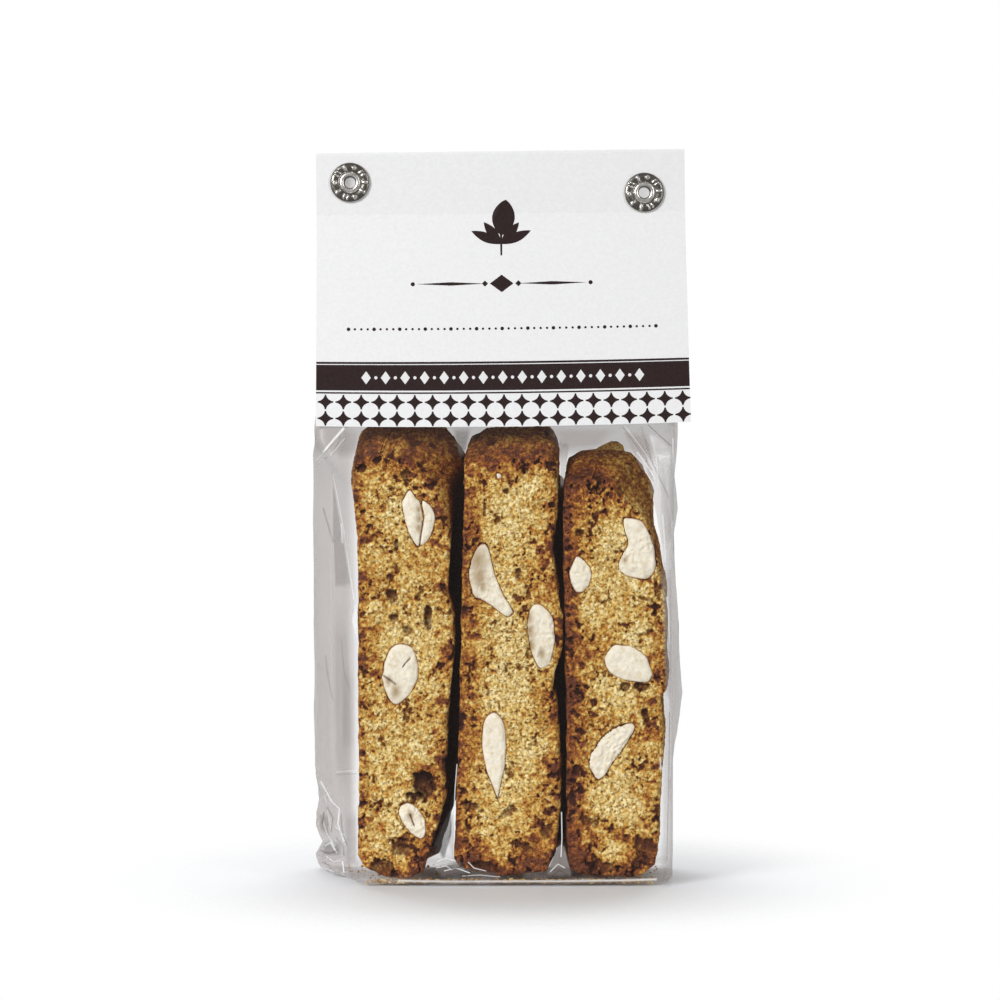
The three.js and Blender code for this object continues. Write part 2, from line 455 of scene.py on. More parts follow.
@dataclass(frozen=True)
class CrumbFinish:
    """Baked crumb and crust, browner where the mesh's bake number is higher."""

    pale: Rgb = srgb(248, 231, 176)
    straw: Rgb = srgb(232, 206, 130)
    golden: Rgb = srgb(208, 160, 73)
    brown: Rgb = srgb(164, 98, 43)
    dark: Rgb = srgb(110, 62, 41)
    # Colour of the painted shade in pits, cracks, cavities, almond sockets and gaps between slices.
    pit: Rgb = (0.2, 0.1, 0.055)
    # Painted shade inside cavities.
    hollow: Rgb = srgb(98, 55, 30)
    # Painted shade between granules.
    crevice_shade: Rgb = (0.5, 0.36, 0.18)
    # Above 1, a painted highlight on granule tops.
    white: Rgb = (1.08, 1.08, 1.08)
    granule: float = 1.1
    grain: float = 0.92
    speck: float = 0.58
    deep: float = 0.5

    def material(self) -> Material:
        """Makes the finish: bake and specks, with painted shade in pores, between granules, in hollows and in
        pits, which darkens what lies under it, and painted highlights on granule tops.

        Returns:
            The material.
        """
        graph = Graph("baked_crumb")
        granule = graph.noise(self.granule, 1.0, 0.5, self.deep)
        speck = graph.noise(self.speck, 1.0, 0.5, self.deep)
        cloud = graph.noise(3.0, 2.0, 0.5, self.deep)
        reach, tone = graph.grains(self.grain, self.deep)
        bake = graph.value("bake")
        for source, share in ((granule, 0.85), (cloud, 0.3), (tone, 0.24)):
            bake = graph.math("ADD", bake, graph.math("MULTIPLY", graph.math("SUBTRACT", source, 0.5), share))
        pit = graph.value("pit")
        # Pits are browned as well as painted with shade.
        bake = graph.math("ADD", bake, graph.math("MULTIPLY", pit, 0.5))
        tones = (self.pale, self.straw, self.golden, self.brown, self.dark)
        body = graph.ramp(bake, tuple(zip((0.04, 0.24, 0.46, 0.7, 0.97), tones)))
        # Painted shade in the pores, and a painted highlight on the granule tops between them.
        holes = graph.ramp(speck, ((0.31, (0.3, 0.15, 0.06)), (0.41, (0.84, 0.75, 0.58)), (0.54, self.white)))
        body = graph.blend(0.9, body, holes, "MULTIPLY")
        # Painted shade between the granules.
        granule_gap_shade = graph.ramp(reach, ((0.4, self.white), (0.76, self.crevice_shade)))
        body = graph.blend(0.66, body, granule_gap_shade, "MULTIPLY")
        # Painted shade inside the cavities.
        body = graph.blend(graph.value("hollow"), body, self.hollow)
        # Painted shade in pits, cracks and gaps.
        body = graph.blend(pit, body, self.pit, "MULTIPLY")
        height = graph.math("ADD", graph.math("MULTIPLY", granule, 0.5), graph.math("MULTIPLY", speck, 0.4))
        height = graph.math("SUBTRACT", height, graph.math("MULTIPLY", reach, 0.35))
        normal = graph.bump(height, 0.45, 0.8)
        return graph.finish(body, 0.82, 0.25, Normal=normal)


@dataclass(frozen=True)
class AlmondFinish:
    """Cut almond flesh inside a thin brown skin."""

    flesh: Rgb = srgb(252, 244, 224)
    shaded: Rgb = srgb(236, 220, 188)
    # Colour of the painted shade in the flesh's hollows and creases.
    shade_tan: Rgb = srgb(166, 138, 94)
    skin: Rgb = srgb(158, 92, 54)
    # Colour of cracks, painted dark as shade.
    crack: Rgb = srgb(96, 66, 40)

    def material(self) -> Material:
        """Makes the finish: streaked flesh, with skin where the mesh's skin number is 1, and painted shade
        where its shade number is higher.

        Returns:
            The material.
        """
        graph = Graph("cut_almond")
        streaks = graph.noise(1.5, 4.0, 0.65)
        grain = graph.noise(0.55, 3.0, 0.6)
        flesh = graph.ramp(streaks, ((0.32, self.shaded), (0.52, self.flesh)))
        # Painted shade in hollows and creases of the flesh.
        flesh = graph.blend(graph.math("MULTIPLY", graph.value("shade"), 0.85), flesh, self.shade_tan)
        body = graph.blend(graph.value("skin"), flesh, self.skin)
        # Cracks painted dark as shade.
        body = graph.blend(graph.value("crack"), body, self.crack)
        normal = graph.bump(grain, 0.3, 0.6)
        return graph.finish(body, 0.6, 0.3, Normal=normal)


@dataclass(frozen=True)
class FilmFinish:
    """Clear film whose haze number says how much of it shows."""

    # The dark end is painted shade and the white end a painted highlight.
    dark: Rgb = srgb(58, 52, 49)
    colour: Rgb = srgb(166, 154, 149)
    painted_light: Rgb = srgb(252, 252, 252)

    def material(self) -> Material:
        """Makes the finish: nearly clear, with painted shade where its painted light number goes to -1 and a
        painted highlight where it goes to 1.

        Returns:
            The material.
        """
        graph = Graph("clear_film")
        tone = graph.node("MapRange", {"Value": graph.value("painted_light"), "From Min": -1.0, "From Max": 1.0})
        stops = ((0.0, self.dark), (0.5, self.colour), (1.0, self.painted_light))
        colour = graph.ramp(tone.outputs["Result"], stops)
        return graph.finish(colour, 0.3, 0.6, IOR=1.5, Alpha=graph.value("haze"))


@dataclass(frozen=True)
class CardFinish:
    """Smooth white card with a faint fibre."""

    colour: Rgb = srgb(242, 242, 243)
    fibre: Rgb = srgb(235, 235, 236)

    def material(self) -> Material:
        """Makes the finish: a faint mottle and a fine tooth.

        Returns:
            The material.
        """
        graph = Graph("white_card")
        fibre = graph.noise(0.9, 4.0, 0.6)
        body = graph.ramp(fibre, ((0.3, self.fibre), (0.7, self.colour)))
        normal = graph.bump(graph.noise(0.25, 2.0), 0.02, 0.25)
        return graph.finish(body, 0.5, 0.35, Normal=normal)


@dataclass(frozen=True)
class InkFinish:
    """Dark brown ink, printed solid on card."""

    colour: Rgb = srgb(44, 31, 31)
    thin: Rgb = srgb(52, 38, 38)

    def material(self) -> Material:
        """Makes the finish: ink that is a little thinner in places.

        Returns:
            The material.
        """
        graph = Graph("dark_ink")
        body = graph.ramp(graph.noise(0.6, 3.0), ((0.3, self.colour), (0.7, self.thin)))
        return graph.finish(body, 0.55, 0.12)


@dataclass(frozen=True)
class NickelFinish:
    """Nickel plate with dark patina in its low places."""

    bright: Rgb = srgb(250, 247, 242)
    worn: Rgb = srgb(214, 209, 202)
    patina: Rgb = srgb(120, 116, 110)

    def material(self) -> Material:
        """Makes the finish: bright where the mesh's raised number is 1, dark between.

        Returns:
            The material.
        """
        graph = Graph("dark_nickel")
        wear = graph.ramp(graph.noise(0.7, 3.0), ((0.35, self.worn), (0.65, self.bright)))
        body = graph.blend(graph.value("raised"), self.patina, wear)
        rough = graph.ramp(graph.noise(0.4, 2.0), ((0.3, (0.2, 0.2, 0.2)), (0.7, (0.36, 0.36, 0.36))))
        return graph.finish(body, rough, Metallic=1.0)


@dataclass(frozen=True)
class FloorFinish:
    """White floor that fades into the white surroundings away from the pack."""

    colour: Rgb = (0.84, 0.86, 0.89)
    solid: float = 38.0
    faded: float = 112.0

    def material(self) -> Material:
        """Makes the finish.

        Returns:
            The material.
        """
        graph = Graph("pale_floor")
        reach = graph.node("VectorMath", {0: graph.place()}, operation="LENGTH").outputs["Value"]
        span = {"Value": reach, "From Min": self.faded * MM, "From Max": self.solid * MM}
        cover = graph.node("MapRange", span, interpolation_type="SMOOTHSTEP").outputs["Result"]
        return graph.finish((*self.colour, 1.0), 0.7, 0.2, Alpha=cover)


class Row(Enum):
    """The two rows of slices in the bag, with the side that each one's cut face looks to."""

    FRONT = -1.0
    BACK = 1.0

    def placed(self, points: Points, faces: list[list[int]]) -> Shell:
        """A front piece, mirrored to the back of the bag for the back row.

        Args:
            points: Its points.
            faces: Its faces.

        Returns:
            The points and faces in this row.
        """
        if self is Row.FRONT:
            return points, faces
        return points * np.array([1.0, -1.0, 1.0]), [face[::-1] for face in faces]


@dataclass(frozen=True)
class Almond:
    """A cut almond in a slice's face, by its outline in X and Z, clockwise."""

    outline: Outline
    lower: float = 0.0
    ragged: float = 0.0
    rough: float = 0.14
    # Spots of painted shade where the flesh dips, each X, Z and size; cracks, each from X, Z to X, Z, painted
    # dark as shade.
    shades: tuple[tuple[float, float, float], ...] = ()
    cracks: tuple[tuple[float, float, float, float], ...] = ()

    def centre(self) -> np.ndarray:
        """The middle of its outline."""
        return np.mean(self.outline, axis=0)

    def reach(self, angles: np.ndarray) -> np.ndarray:
        """Distance from its middle to its edge.

        Args:
            angles: Directions, in radians.

        Returns:
            One distance for each direction.
        """
        corners = np.array(self.outline) - self.centre()
        share = np.linspace(0.0, 1.0, 9)[:-1, None]
        parts = []
        for number in range(len(corners)):
            p0, p1, p2, p3 = (corners[(number + step) % len(corners)] for step in (-1, 0, 1, 2))
            bend = 2.0 * p0 - 5.0 * p1 + 4.0 * p2 - p3
            twist = 3.0 * (p1 - p2) + p3 - p0
            parts.append(0.5 * (2.0 * p1 + (p2 - p0) * share + bend * share ** 2 + twist * share ** 3))
        edge = np.concatenate(parts)
        turns = np.arctan2(edge[:, 1], edge[:, 0])
        order = np.argsort(turns)
        return np.interp(angles, turns[order], np.hypot(*edge[order].T), period=2.0 * math.pi)

    def outside(self, x: np.ndarray, z: np.ndarray) -> np.ndarray:
        """How far places lie outside its edge.

        Args:
            x: X of the places.
            z: Z of the places.

        Returns:
            One distance for each place, below 0 inside.
        """
        middle = self.centre()
        dx, dz = x - middle[0], z - middle[1]
        return np.hypot(dx, dz) - self.reach(np.arctan2(dz, dx))

    def mirrored(self, x_shift: float, z_sum: float) -> "Almond":
        """The same almond upside down and moved.

        Args:
            x_shift: How far it moves to the right.
            z_sum: Its old and new heights added up.

        Returns:
            The other almond.
        """
        turned = tuple((x + x_shift, z_sum - z) for x, z in self.outline)[::-1]
        shades = tuple((x + x_shift, z_sum - z, size) for x, z, size in self.shades)
        return Almond(turned, self.lower, self.ragged, self.rough, shades)


@dataclass(frozen=True)
class Cavity:
    """A hole in the crumb, by its place and size in the photograph."""

    across_px: float
    down_px: float
    width: float
    height: float
    tilt: float = 0.0
    depth: float = 2.4
    ragged: float = 0.25

    def reach(self, x: np.ndarray, z: np.ndarray, centre: tuple[float, float], grain: Grain) -> np.ndarray:
        """How far into the hole each place is.

        Args:
            x: X of the places.
            z: Z of the places.
            centre: The hole's own X and Z.
            grain: Noise that breaks up its edge.

        Returns:
            1 on its floor, 0 outside, and between on its wall.
        """
        angle = math.radians(self.tilt)
        dx, dz = x - centre[0], z - centre[1]
        across = (dx * math.cos(angle) - dz * math.sin(angle)) / (self.width / 2.0)
        along = (dx * math.sin(angle) + dz * math.cos(angle)) / (self.height / 2.0)
        places = np.stack([x, np.full_like(x, self.width), z], axis=1)
        edge = (0.15 + self.ragged) * grain.layered(places, 1.5, 3)
        return fall(np.hypot(across, along) + edge, 0.8, 1.1)


@dataclass
class Slice:
    """One biscotto: a slice cut across a baked log, standing on one end.

    Its shoulder, crown and peak are heights between which its form, browning and painted light and shade
    change.
    """

    name: str
    row: Row
    seed: int
    left: Outline
    right: Outline
    lean_left: tuple[float, float]
    lean_right: tuple[float, float]
    lean_up: tuple[float, float]
    almonds: tuple[Almond, ...] = ()
    cavities: tuple[Cavity, ...] = ()
    browned_bottom: float = 16.0
    browned_top: float = 9.0
    spacing: float = 0.285
    face_y: float = 19.2
    thickness: float = 18.2
    fine_depth: float = 5.5
    edge_radius: float = 0.9
    top_radius: float = 1.7
    recess_shade: float = 0.22
    centre_bake: float = 0.06
    rim_paler: float = 0.34
    left_browning_and_shade: float = 0.06
    right_bake: float = 0.0
    foot_bake: float = 0.42
    inner_bake: float = 0.36
    inner_shade: float = 1.0
    gap_shade_left: float = 1.0
    gap_shade_right: float = 1.0
    evened: int = 9
    shoulder: tuple[float, float] = (88.0, 102.0)
    crown: tuple[float, float] = (98.0, 110.0)
    peak: tuple[float, float] = (100.0, 105.0)
    grain: Grain = field(init=False)

    def __post_init__(self) -> None:
        """Gives the slice its own noise."""
        self.grain = Grain(self.seed)

    def _sides(self, z: np.ndarray) -> tuple[np.ndarray, np.ndarray]:
        """Edges of the cut face, with the lumps of the crumb.

        Args:
            z: Heights.

        Returns:
            X of the left and of the right edge at each height.
        """
        places = np.stack([np.zeros_like(z), np.full_like(z, 3.0), z], axis=1)
        sides = []
        for outline, offset in ((self.left, 0.0), (self.right, 50.0)):
            heights, across = zip(*sorted(outline))
            edge = np.interp(z, heights, across)
            sides.append(edge + 0.3 * self.grain.layered(places + offset, 2.4, 3))
        return sides[0], sides[1]

    def _face_grid(self) -> tuple[np.ndarray, np.ndarray]:
        """Lays a grid over the cut face.

        Returns:
            X and Z of its points, rows from the bottom up.
        """
        low = max(min(z for z, _ in self.left), min(z for z, _ in self.right))
        high = min(max(z for z, _ in self.left), max(z for z, _ in self.right))
        rows = 2 * round((high - low) / self.spacing / 2)
        z = np.linspace(low, high, rows + 1)
        left, right = self._sides(z)
        columns = 2 * round((np.max(right - left) + 1.0) / self.spacing / 2)
        share = np.linspace(0.0, 1.0, columns + 1)
        x = left[:, None] + (right - left)[:, None] * share[None, :]
        tilt = np.stack([x.ravel(), np.full(x.size, 7.0), np.zeros(x.size)], axis=1)
        bend = (0.5 * self.grain.layered(tilt, 5.0, 2)).reshape(x.shape)
        near_end = fall(np.minimum(z - low, high - z), 0.0, 8.0)
        return x, z[:, None] + bend * near_end[:, None]

    def _edge_distance(self, x: np.ndarray, z: np.ndarray) -> np.ndarray:
        """Distance of grid points from the cut face's nearest edge, along the grid.

        Args:
            x: X of the grid.
            z: Z of the grid.

        Returns:
            One distance for each point.
        """
        across = np.minimum(x - x[:, :1], x[:, -1:] - x)
        upright = np.minimum(z - z[:1, :], z[-1:, :] - z)
        return np.minimum(across, upright)

    def _face_relief(self, x: np.ndarray, z: np.ndarray, inner: np.ndarray) -> dict[str, np.ndarray]:
        """Relief, browning and painted shade of the cut face.

        Args:
            x: X of the places.
            z: Z of the places.
            inner: Their distances from the edge.

        Returns:
            Outward relief in millimetres, and the numbers that the finish reads.
        """
        grain = self.grain
        places = np.stack([x, np.zeros_like(x), z], axis=1)
        patch = grain.layered(places + 90.0, 7.0, 3)
        edge = np.exp(-inner / 4.5)
        burn = grain.layered(places + 45.0, 1.9, 3)
        bake = self.centre_bake + 0.4 * np.exp(-inner / 2.4) + 0.24 * np.exp(-inner / 6.0) + 0.28 * patch
        bake += 0.6 * rise(burn, 0.08, 0.46) * (0.12 + 1.25 * edge)
        bake -= self.rim_paler * np.exp(-inner / 0.8)
        low, high = z.min(), z.max()
        from_left = x - np.interp(z, *zip(*sorted(self.left)))
        from_right = np.interp(z, *zip(*sorted(self.right))) - x
        # Darker near the left edge: browning, with painted shade on the middle slice where its neighbour
        # hides that edge.
        bake += self.left_browning_and_shade * np.exp(-from_left / 4.0) + self.right_bake * np.exp(-from_right / 3.0)
        bake += self.foot_bake * fall(z - low, 2.0, self.browned_bottom) * (0.6 + 0.9 * patch)
        bake += 0.2 * fall(high - z, 1.0, self.browned_top)
        warp = np.stack([grain.smooth(places + offset, 2.2) for offset in (5.0, 15.0, 25.0)], axis=1)
        near, nxt, _ = grain.cells(places + 0.3 * warp, 0.72)
        granule = np.clip(nxt - near, 0.0, 0.5) / 0.5
        lumps = 0.75 * grain.layered(places + 30.0, 0.85, 2) + 0.25 * grain.layered(places + 35.0, 2.6, 2)
        clump = rise(lumps + 0.5 * (granule - 0.4), -0.34, 0.26)
        bake = np.clip(bake, 0.0, 1.0)
        open_crumb = 0.75 * grain.layered(places + 60.0 + 0.4 * warp, 0.95, 2)
        open_crumb += 0.35 * grain.smooth(places, 3.4)
        limit = 0.38 - 0.26 * bake
        # Open pores, dipped and painted dark as shade; they are browned too.
        pit = rise(open_crumb, limit, limit + 0.1) * (0.62 + 0.38 * bake)
        relief = 0.4 * grain.layered(places + 10.0, 13.0, 2) + 0.42 * (clump - 0.5) + 0.14 * granule
        relief -= 0.7 * pit
        # Painted shade in the low places between clumps, as browner crumb.
        bake = bake + self.recess_shade * (1.0 - clump)
        # dark gathers the painted shade of pores, cavities and almond sockets.
        dark = np.clip(pit, 0.0, 1.0)
        hollow = np.zeros_like(x)
        for cavity in self.cavities:
            centre = PHOTO.on_plane(cavity.across_px, cavity.down_px, -self.face_y)
            reach = cavity.reach(x, z, centre, grain)
            relief -= cavity.depth * reach * (0.8 + 0.3 * lumps)
            deep = min(1.0, cavity.depth / 3.0)
            # Cavities are painted dark as shade inside, most under their upper wall.
            shaded = 0.5 + 0.4 * deep + 0.3 * (0.5 - clump)
            hollow = np.maximum(hollow, rise(reach, 0.1, 0.9) * shaded)
            upper = rise(z - centre[1], -0.1 * cavity.height, 0.25 * cavity.height)
            dark = np.maximum(dark, deep * (0.15 + 0.75 * upper) * rise(reach, 0.1, 0.8))
        # Under and round each almond the crumb is painted dark as shade, as in its socket.
        for almond in self.almonds:
            inside = fall(almond.outside(x, z), -0.5, 0.22)
            relief = relief * (1.0 - inside) - 1.5 * inside
            dark = np.maximum(dark * (1.0 - inside), inside * 0.7)
        rounder = rise(z, high - 20.0, high - 5.0)
        radius = self.edge_radius + (self.top_radius - self.edge_radius) * rounder
        rolled = np.clip(1.0 - inner / radius, 0.0, 1.0)
        relief -= radius * (1.0 - np.sqrt(1.0 - rolled * rolled * 0.98))
        return {"relief": relief, "bake": np.clip(bake, 0.0, 1.0), "pit": dark, "hollow": hollow}

    def _wall(self, ring: np.ndarray, start: np.ndarray, levels: np.ndarray) -> dict[str, np.ndarray]:
        """The crust: the face's border swept back through the slice's thickness.

        Args:
            ring: Border points of the cut face, in order.
            start: How browned each of them is.
            levels: Depths behind the border, past 0.

        Returns:
            Points of all levels, and the numbers that the finish reads.
        """
        height = ring[:, 2]
        middle_x = np.interp(height, *zip(*sorted(self.left))) + np.interp(height, *zip(*sorted(self.right)))
        rightward = rise(ring[:, 0] - middle_x / 2.0, -8.0, 8.0)
        shoulder = rise(height, *self.shoulder)
        left_lean = self.lean_left[0] + (self.lean_left[1] - self.lean_left[0]) * shoulder
        right_lean = self.lean_right[0] + (self.lean_right[1] - self.lean_right[0]) * shoulder
        lean_x = left_lean + (right_lean - left_lean) * rightward
        lean_z = self.lean_up[0] + (self.lean_up[1] - self.lean_up[0]) * rise(height, 20.0, 105.0)
        middle = np.array([ring[:, 0].mean(), 0.0, ring[:, 2].mean()])
        outward = ring - np.roll(ring, 1, axis=0)
        outward = np.stack([outward[:, 2], np.zeros(len(ring)), -outward[:, 0]], axis=1)
        outward = outward + np.roll(outward, -1, axis=0)
        outward = sum(np.roll(outward, step, axis=0) for step in range(-self.evened, self.evened + 1))
        outward /= np.maximum(np.linalg.norm(outward, axis=1), 1e-6)[:, None]
        outward *= np.sign(np.sum(outward * (ring - middle), axis=1).sum())
        # Walls beside a neighbouring slice are painted dark as shade, more so deeper into the gap.
        sideways = rise(np.abs(outward[:, 0]), 0.45, 0.9)
        gap = (self.gap_shade_left + (self.gap_shade_right - self.gap_shade_left) * rightward) * sideways
        upper = rise(height, *self.crown)
        peak = rise(height, *self.peak)
        gap *= 1.0 - 0.8 * peak
        # Walls that face right are made darker. At the back row's peak a painted light makes the crust paler,
        # and it gets less painted shade.
        right_darkening_and_peak_light = 0.08 * rise(outward[:, 0], 0.3, 0.8) * (1.0 - 0.6 * peak)
        if self.row is Row.BACK:
            right_darkening_and_peak_light = np.minimum(right_darkening_and_peak_light, -0.12 * peak)
        under = rise(-outward[:, 0], 0.4, 0.9)
        rear_y = -self.face_y + self.thickness
        squash = np.array([1.0, 0.5, 1.0])
        rows, bakes, pit_shades = [], [], []
        for depth in levels:
            share = depth / self.thickness
            row = ring.copy()
            row[:, 0] += lean_x * share
            row[:, 2] += lean_z * share
            row[:, 1] += (rear_y - ring[:, 1]) * share
            probe = row * squash
            noise = self.grain.layered(probe + 120.0, 9.0, 3)
            near, nxt, _ = self.grain.cells(probe + 150.0, 1.1)
            knobs = 0.65 * self.grain.layered(probe + 70.0, 0.9, 2)
            knobs += 0.35 * self.grain.layered(probe + 75.0, 2.6, 2)
            rough = 0.3 * knobs + 0.2 * np.clip(nxt - near, 0, 0.5)
            settle = rise(depth, 0.0, 2.5)
            row += outward * ((0.5 * noise + rough + 0.5 * math.sin(math.pi * share)) * settle)[:, None]
            # Cracks in the crust, cut in and painted dark as shade.
            crack = rise(self.grain.layered(probe + 200.0, 3.0, 3), 0.42, 0.62)
            row -= outward * (0.4 * crack * settle)[:, None]
            rows.append(row)
            crust = 0.5 + 0.14 * noise + 0.12 * upper + 0.08 * under - 0.3 * knobs + right_darkening_and_peak_light
            blend = rise(depth, 0.6, 6.5)
            bakes.append(np.clip(start + (crust - start) * blend, 0.0, 1.0))
            # Painted shade between the crust's cells.
            crevice_shade = fall(nxt - near, 0.0, 0.2)
            # Painted shade deep in the gap between slices.
            gap_shade = 0.85 * gap * rise(depth, 0.5, 6.0)
            # The wall's painted shade: in cracks, between cells and deep in gaps.
            pit_shades.append(np.clip(np.maximum(0.6 * crack * blend + 0.25 * crevice_shade, gap_shade), 0.0, 1.0))
        return {"points": np.concatenate(rows), "bake": np.concatenate(bakes), "pit": np.concatenate(pit_shades)}

    def build(self, material: Material) -> Piece:
        """Makes the slice as one closed mesh.

        Args:
            material: The crumb's finish.

        Returns:
            The new piece.
        """
        x, z = self._face_grid()
        rows, columns = x.shape
        inner = self._edge_distance(x, z)
        face = self._face_relief(x.ravel(), z.ravel(), inner.ravel())
        front = np.stack([x.ravel(), -self.face_y - face["relief"], z.ravel()], axis=1)
        border = border_of(rows, columns)
        ring = front[border]
        fine = np.arange(self.spacing * 2.0, self.fine_depth, self.spacing * 1.4)
        ring_bake = np.maximum(face["bake"][border], 0.42)
        near_wall = self._wall(ring, ring_bake, fine)
        coarse_step = self.spacing * 2.4
        coarse = np.arange(fine[-1] + coarse_step, self.thickness, coarse_step)
        far_wall = self._wall(ring[::2], ring_bake[::2], coarse)
        points = [front, near_wall["points"], far_wall["points"]]
        faces = [grid_faces(rows, columns)]
        count, first = len(border), len(front)
        faces.append(join_rings(border, first + np.arange(count)))
        faces.append(grid_faces(len(fine), count, first, closed=True)[:, ::-1])
        last_fine = first + (len(fine) - 1) * count
        first_coarse = first + len(fine) * count
        half = count // 2
        mid = np.arange(half)
        a, b, c = last_fine + 2 * mid, last_fine + 2 * mid + 1, last_fine + (2 * mid + 2) % count
        d, e = first_coarse + mid, first_coarse + (mid + 1) % half
        triangles = np.concatenate([np.stack([b, a, d], 1), np.stack([b, d, e], 1), np.stack([c, b, e], 1)])
        faces.append(grid_faces(len(coarse), half, first_coarse, closed=True)[:, ::-1])
        rear = far_wall["points"][-half:]
        rear_rows, rear_columns = (rows - 1) // 2 + 1, (columns - 1) // 2 + 1
        rear_grid = self._rear(rear, rear_rows, rear_columns)
        rear_first = first_coarse + len(coarse) * half
        rear_border = rear_first + border_of(rear_rows, rear_columns)
        last_coarse = first_coarse + (len(coarse) - 1) * half
        faces.append(join_rings(last_coarse + mid, rear_border))
        faces.append(grid_faces(rear_rows, rear_columns, rear_first)[:, ::-1])
        points.append(rear_grid)
        everything = np.concatenate(points)
        rear_count = len(rear_grid)
        # The faces that look to the other row are painted near-black as shade, except near their tops.
        inner_shade = self.inner_shade * fall(rear_grid[:, 2], 99.0, 103.0)
        inner_bake = np.full(rear_count, self.inner_bake)
        values = {
            "bake": np.concatenate([face["bake"], near_wall["bake"], far_wall["bake"], inner_bake]),
            "pit": np.concatenate([face["pit"], near_wall["pit"], far_wall["pit"], inner_shade]),
            "hollow": np.concatenate([face["hollow"], np.zeros(len(everything) - len(front))]),
        }
        corners = [list(quad) for block in faces for quad in block] + [list(t) for t in triangles]
        return make_piece(self.name, *self.row.placed(everything, corners), material, "crumb", values)

    def _rear(self, ring: np.ndarray, rows: int, columns: int) -> np.ndarray:
        """The cut face that looks to the other row, stretched inside a ring.

        Args:
            ring: Its border, in the order of a grid's border.
            rows: Rows of points.
            columns: Points in a row.

        Returns:
            The grid's points.
        """
        border = border_of(rows, columns)
        grid = np.zeros((rows * columns, 3))
        grid[border] = ring
        sheet = grid.reshape(rows, columns, 3)
        left, right = sheet[:, 0].copy(), sheet[:, -1].copy()
        bottom, top = sheet[0].copy(), sheet[-1].copy()
        u = np.linspace(0.0, 1.0, columns)[None, :, None]
        v = np.linspace(0.0, 1.0, rows)[:, None, None]
        corners = (1 - v) * ((1 - u) * bottom[0] + u * bottom[-1]) + v * ((1 - u) * top[0] + u * top[-1])
        patch = (1 - u) * left[:, None] + u * right[:, None] + (1 - v) * bottom[None] + v * top[None]
        patch -= corners
        flat = patch.reshape(-1, 3)
        flat[:, 1] = -self.face_y + self.thickness + 0.25 * self.grain.layered(flat + 300.0, 2.0, 3)
        return flat


@dataclass
class AlmondSet:
    """All cut almonds of one row of slices, as one mesh."""

    name: str
    row: Row
    face_y: float
    almonds: list[Almond]
    seed: int
    rings: int = 24
    spokes: int = 128
    proud: float = 0.22
    depth: float = 2.2
    skin: float = 0.24

    def _one(self, almond: Almond, number: int) -> tuple[np.ndarray, np.ndarray, dict[str, np.ndarray]]:
        """Shapes one almond, in the front row's place.

        Args:
            almond: The almond.
            number: Its number, for noise of its own.

        Returns:
            Its points, its faces and the numbers that the finish reads.
        """
        grain = Grain(self.seed + number)
        angles = np.linspace(math.pi, -math.pi, self.spokes, endpoint=False)
        turn = np.stack([np.cos(angles), np.sin(angles), np.zeros_like(angles)], axis=1)
        edge = almond.reach(angles)
        edge = edge * (1.0 + 0.05 * grain.layered(turn * 3.0, 1.0, 3))
        edge = edge - almond.ragged * np.abs(grain.layered(turn * 14.0, 1.0, 3))
        share = np.linspace(1.0, 0.04, self.rings) ** 0.8
        middle = almond.centre()
        x = middle[0] + share[:, None] * (edge * np.cos(angles))[None, :]
        z = middle[1] + share[:, None] * (edge * np.sin(angles))[None, :]
        inset = (1.0 - share)[:, None] * edge[None, :]
        places = np.stack([x.ravel(), np.zeros(x.size), z.ravel()], axis=1)
        grainy = grain.layered(places, 1.7, 3).reshape(x.shape)
        broken = grain.layered(places + 40.0, 0.8, 2).reshape(x.shape)
        height = self.proud - almond.lower + 0.35 * rise(inset, 0.0, 1.8) + 0.25 * grainy
        height += almond.rough * broken
        height -= 0.45 * fall(inset, 0.0, 0.4)
        # Painted shade in hollows and creases, where the flesh also dips.
        shade = np.zeros_like(height)
        for spot_x, spot_z, size in almond.shades:
            across, upright = (x - spot_x) / size, (z - spot_z) / (1.5 * size)
            shade = np.maximum(shade, np.exp(-(across ** 2) - upright ** 2))
        height -= 0.45 * shade
        # Cracks in the flesh, dipped and painted dark as shade.
        crack = np.zeros_like(height)
        for x0, z0, x1, z1 in almond.cracks:
            line = np.array([x1 - x0, z1 - z0])
            offset = np.stack([x - x0 + 0.12 * grainy, z - z0 - 0.12 * grainy], axis=-1)
            along = np.clip(offset @ line / (line @ line), 0.0, 1.0)
            gap = np.linalg.norm(offset - along[..., None] * line, axis=-1)
            crack = np.maximum(crack, fall(gap, 0.06, 0.3))
        height -= 0.3 * crack
        thick = self.skin * (0.7 + 1.1 * grain.layered(places + 20.0, 2.4, 2).reshape(x.shape))
        skin = fall(inset / np.maximum(thick, 0.05), 0.4, 1.0)
        front = np.stack([x.ravel(), -self.face_y - height.ravel(), z.ravel()], axis=1)
        rear = front[:self.spokes].copy()
        rear[:, 1] = -self.face_y + self.depth
        count = len(front)
        start = np.arange(self.spokes)
        last = count - self.spokes
        faces = grid_faces(self.rings, self.spokes, closed=True).tolist()
        faces += join_rings(start, count + start).tolist()
        faces += [(last + start).tolist(), (count + start[::-1]).tolist()]
        values = {
            "skin": np.concatenate([skin.ravel(), np.ones(self.spokes)]),
            "crack": np.concatenate([crack.ravel(), np.zeros(self.spokes)]),
            "shade": np.concatenate([shade.ravel(), np.zeros(self.spokes)]),
        }
        return np.concatenate([front, rear]), faces, values

    def build(self, material: Material) -> Piece:
        """Makes the almonds.

        Args:
            material: Their finish.

        Returns:
            The new piece.
        """
        parts = [self._one(almond, number) for number, almond in enumerate(self.almonds)]
        everything, corners = merged([(points, faces) for points, faces, _ in parts])
        values = {key: np.concatenate([own[key] for _, _, own in parts]) for key in parts[0][2]}
        return make_piece(self.name, *self.row.placed(everything, corners), material, "almond", values)


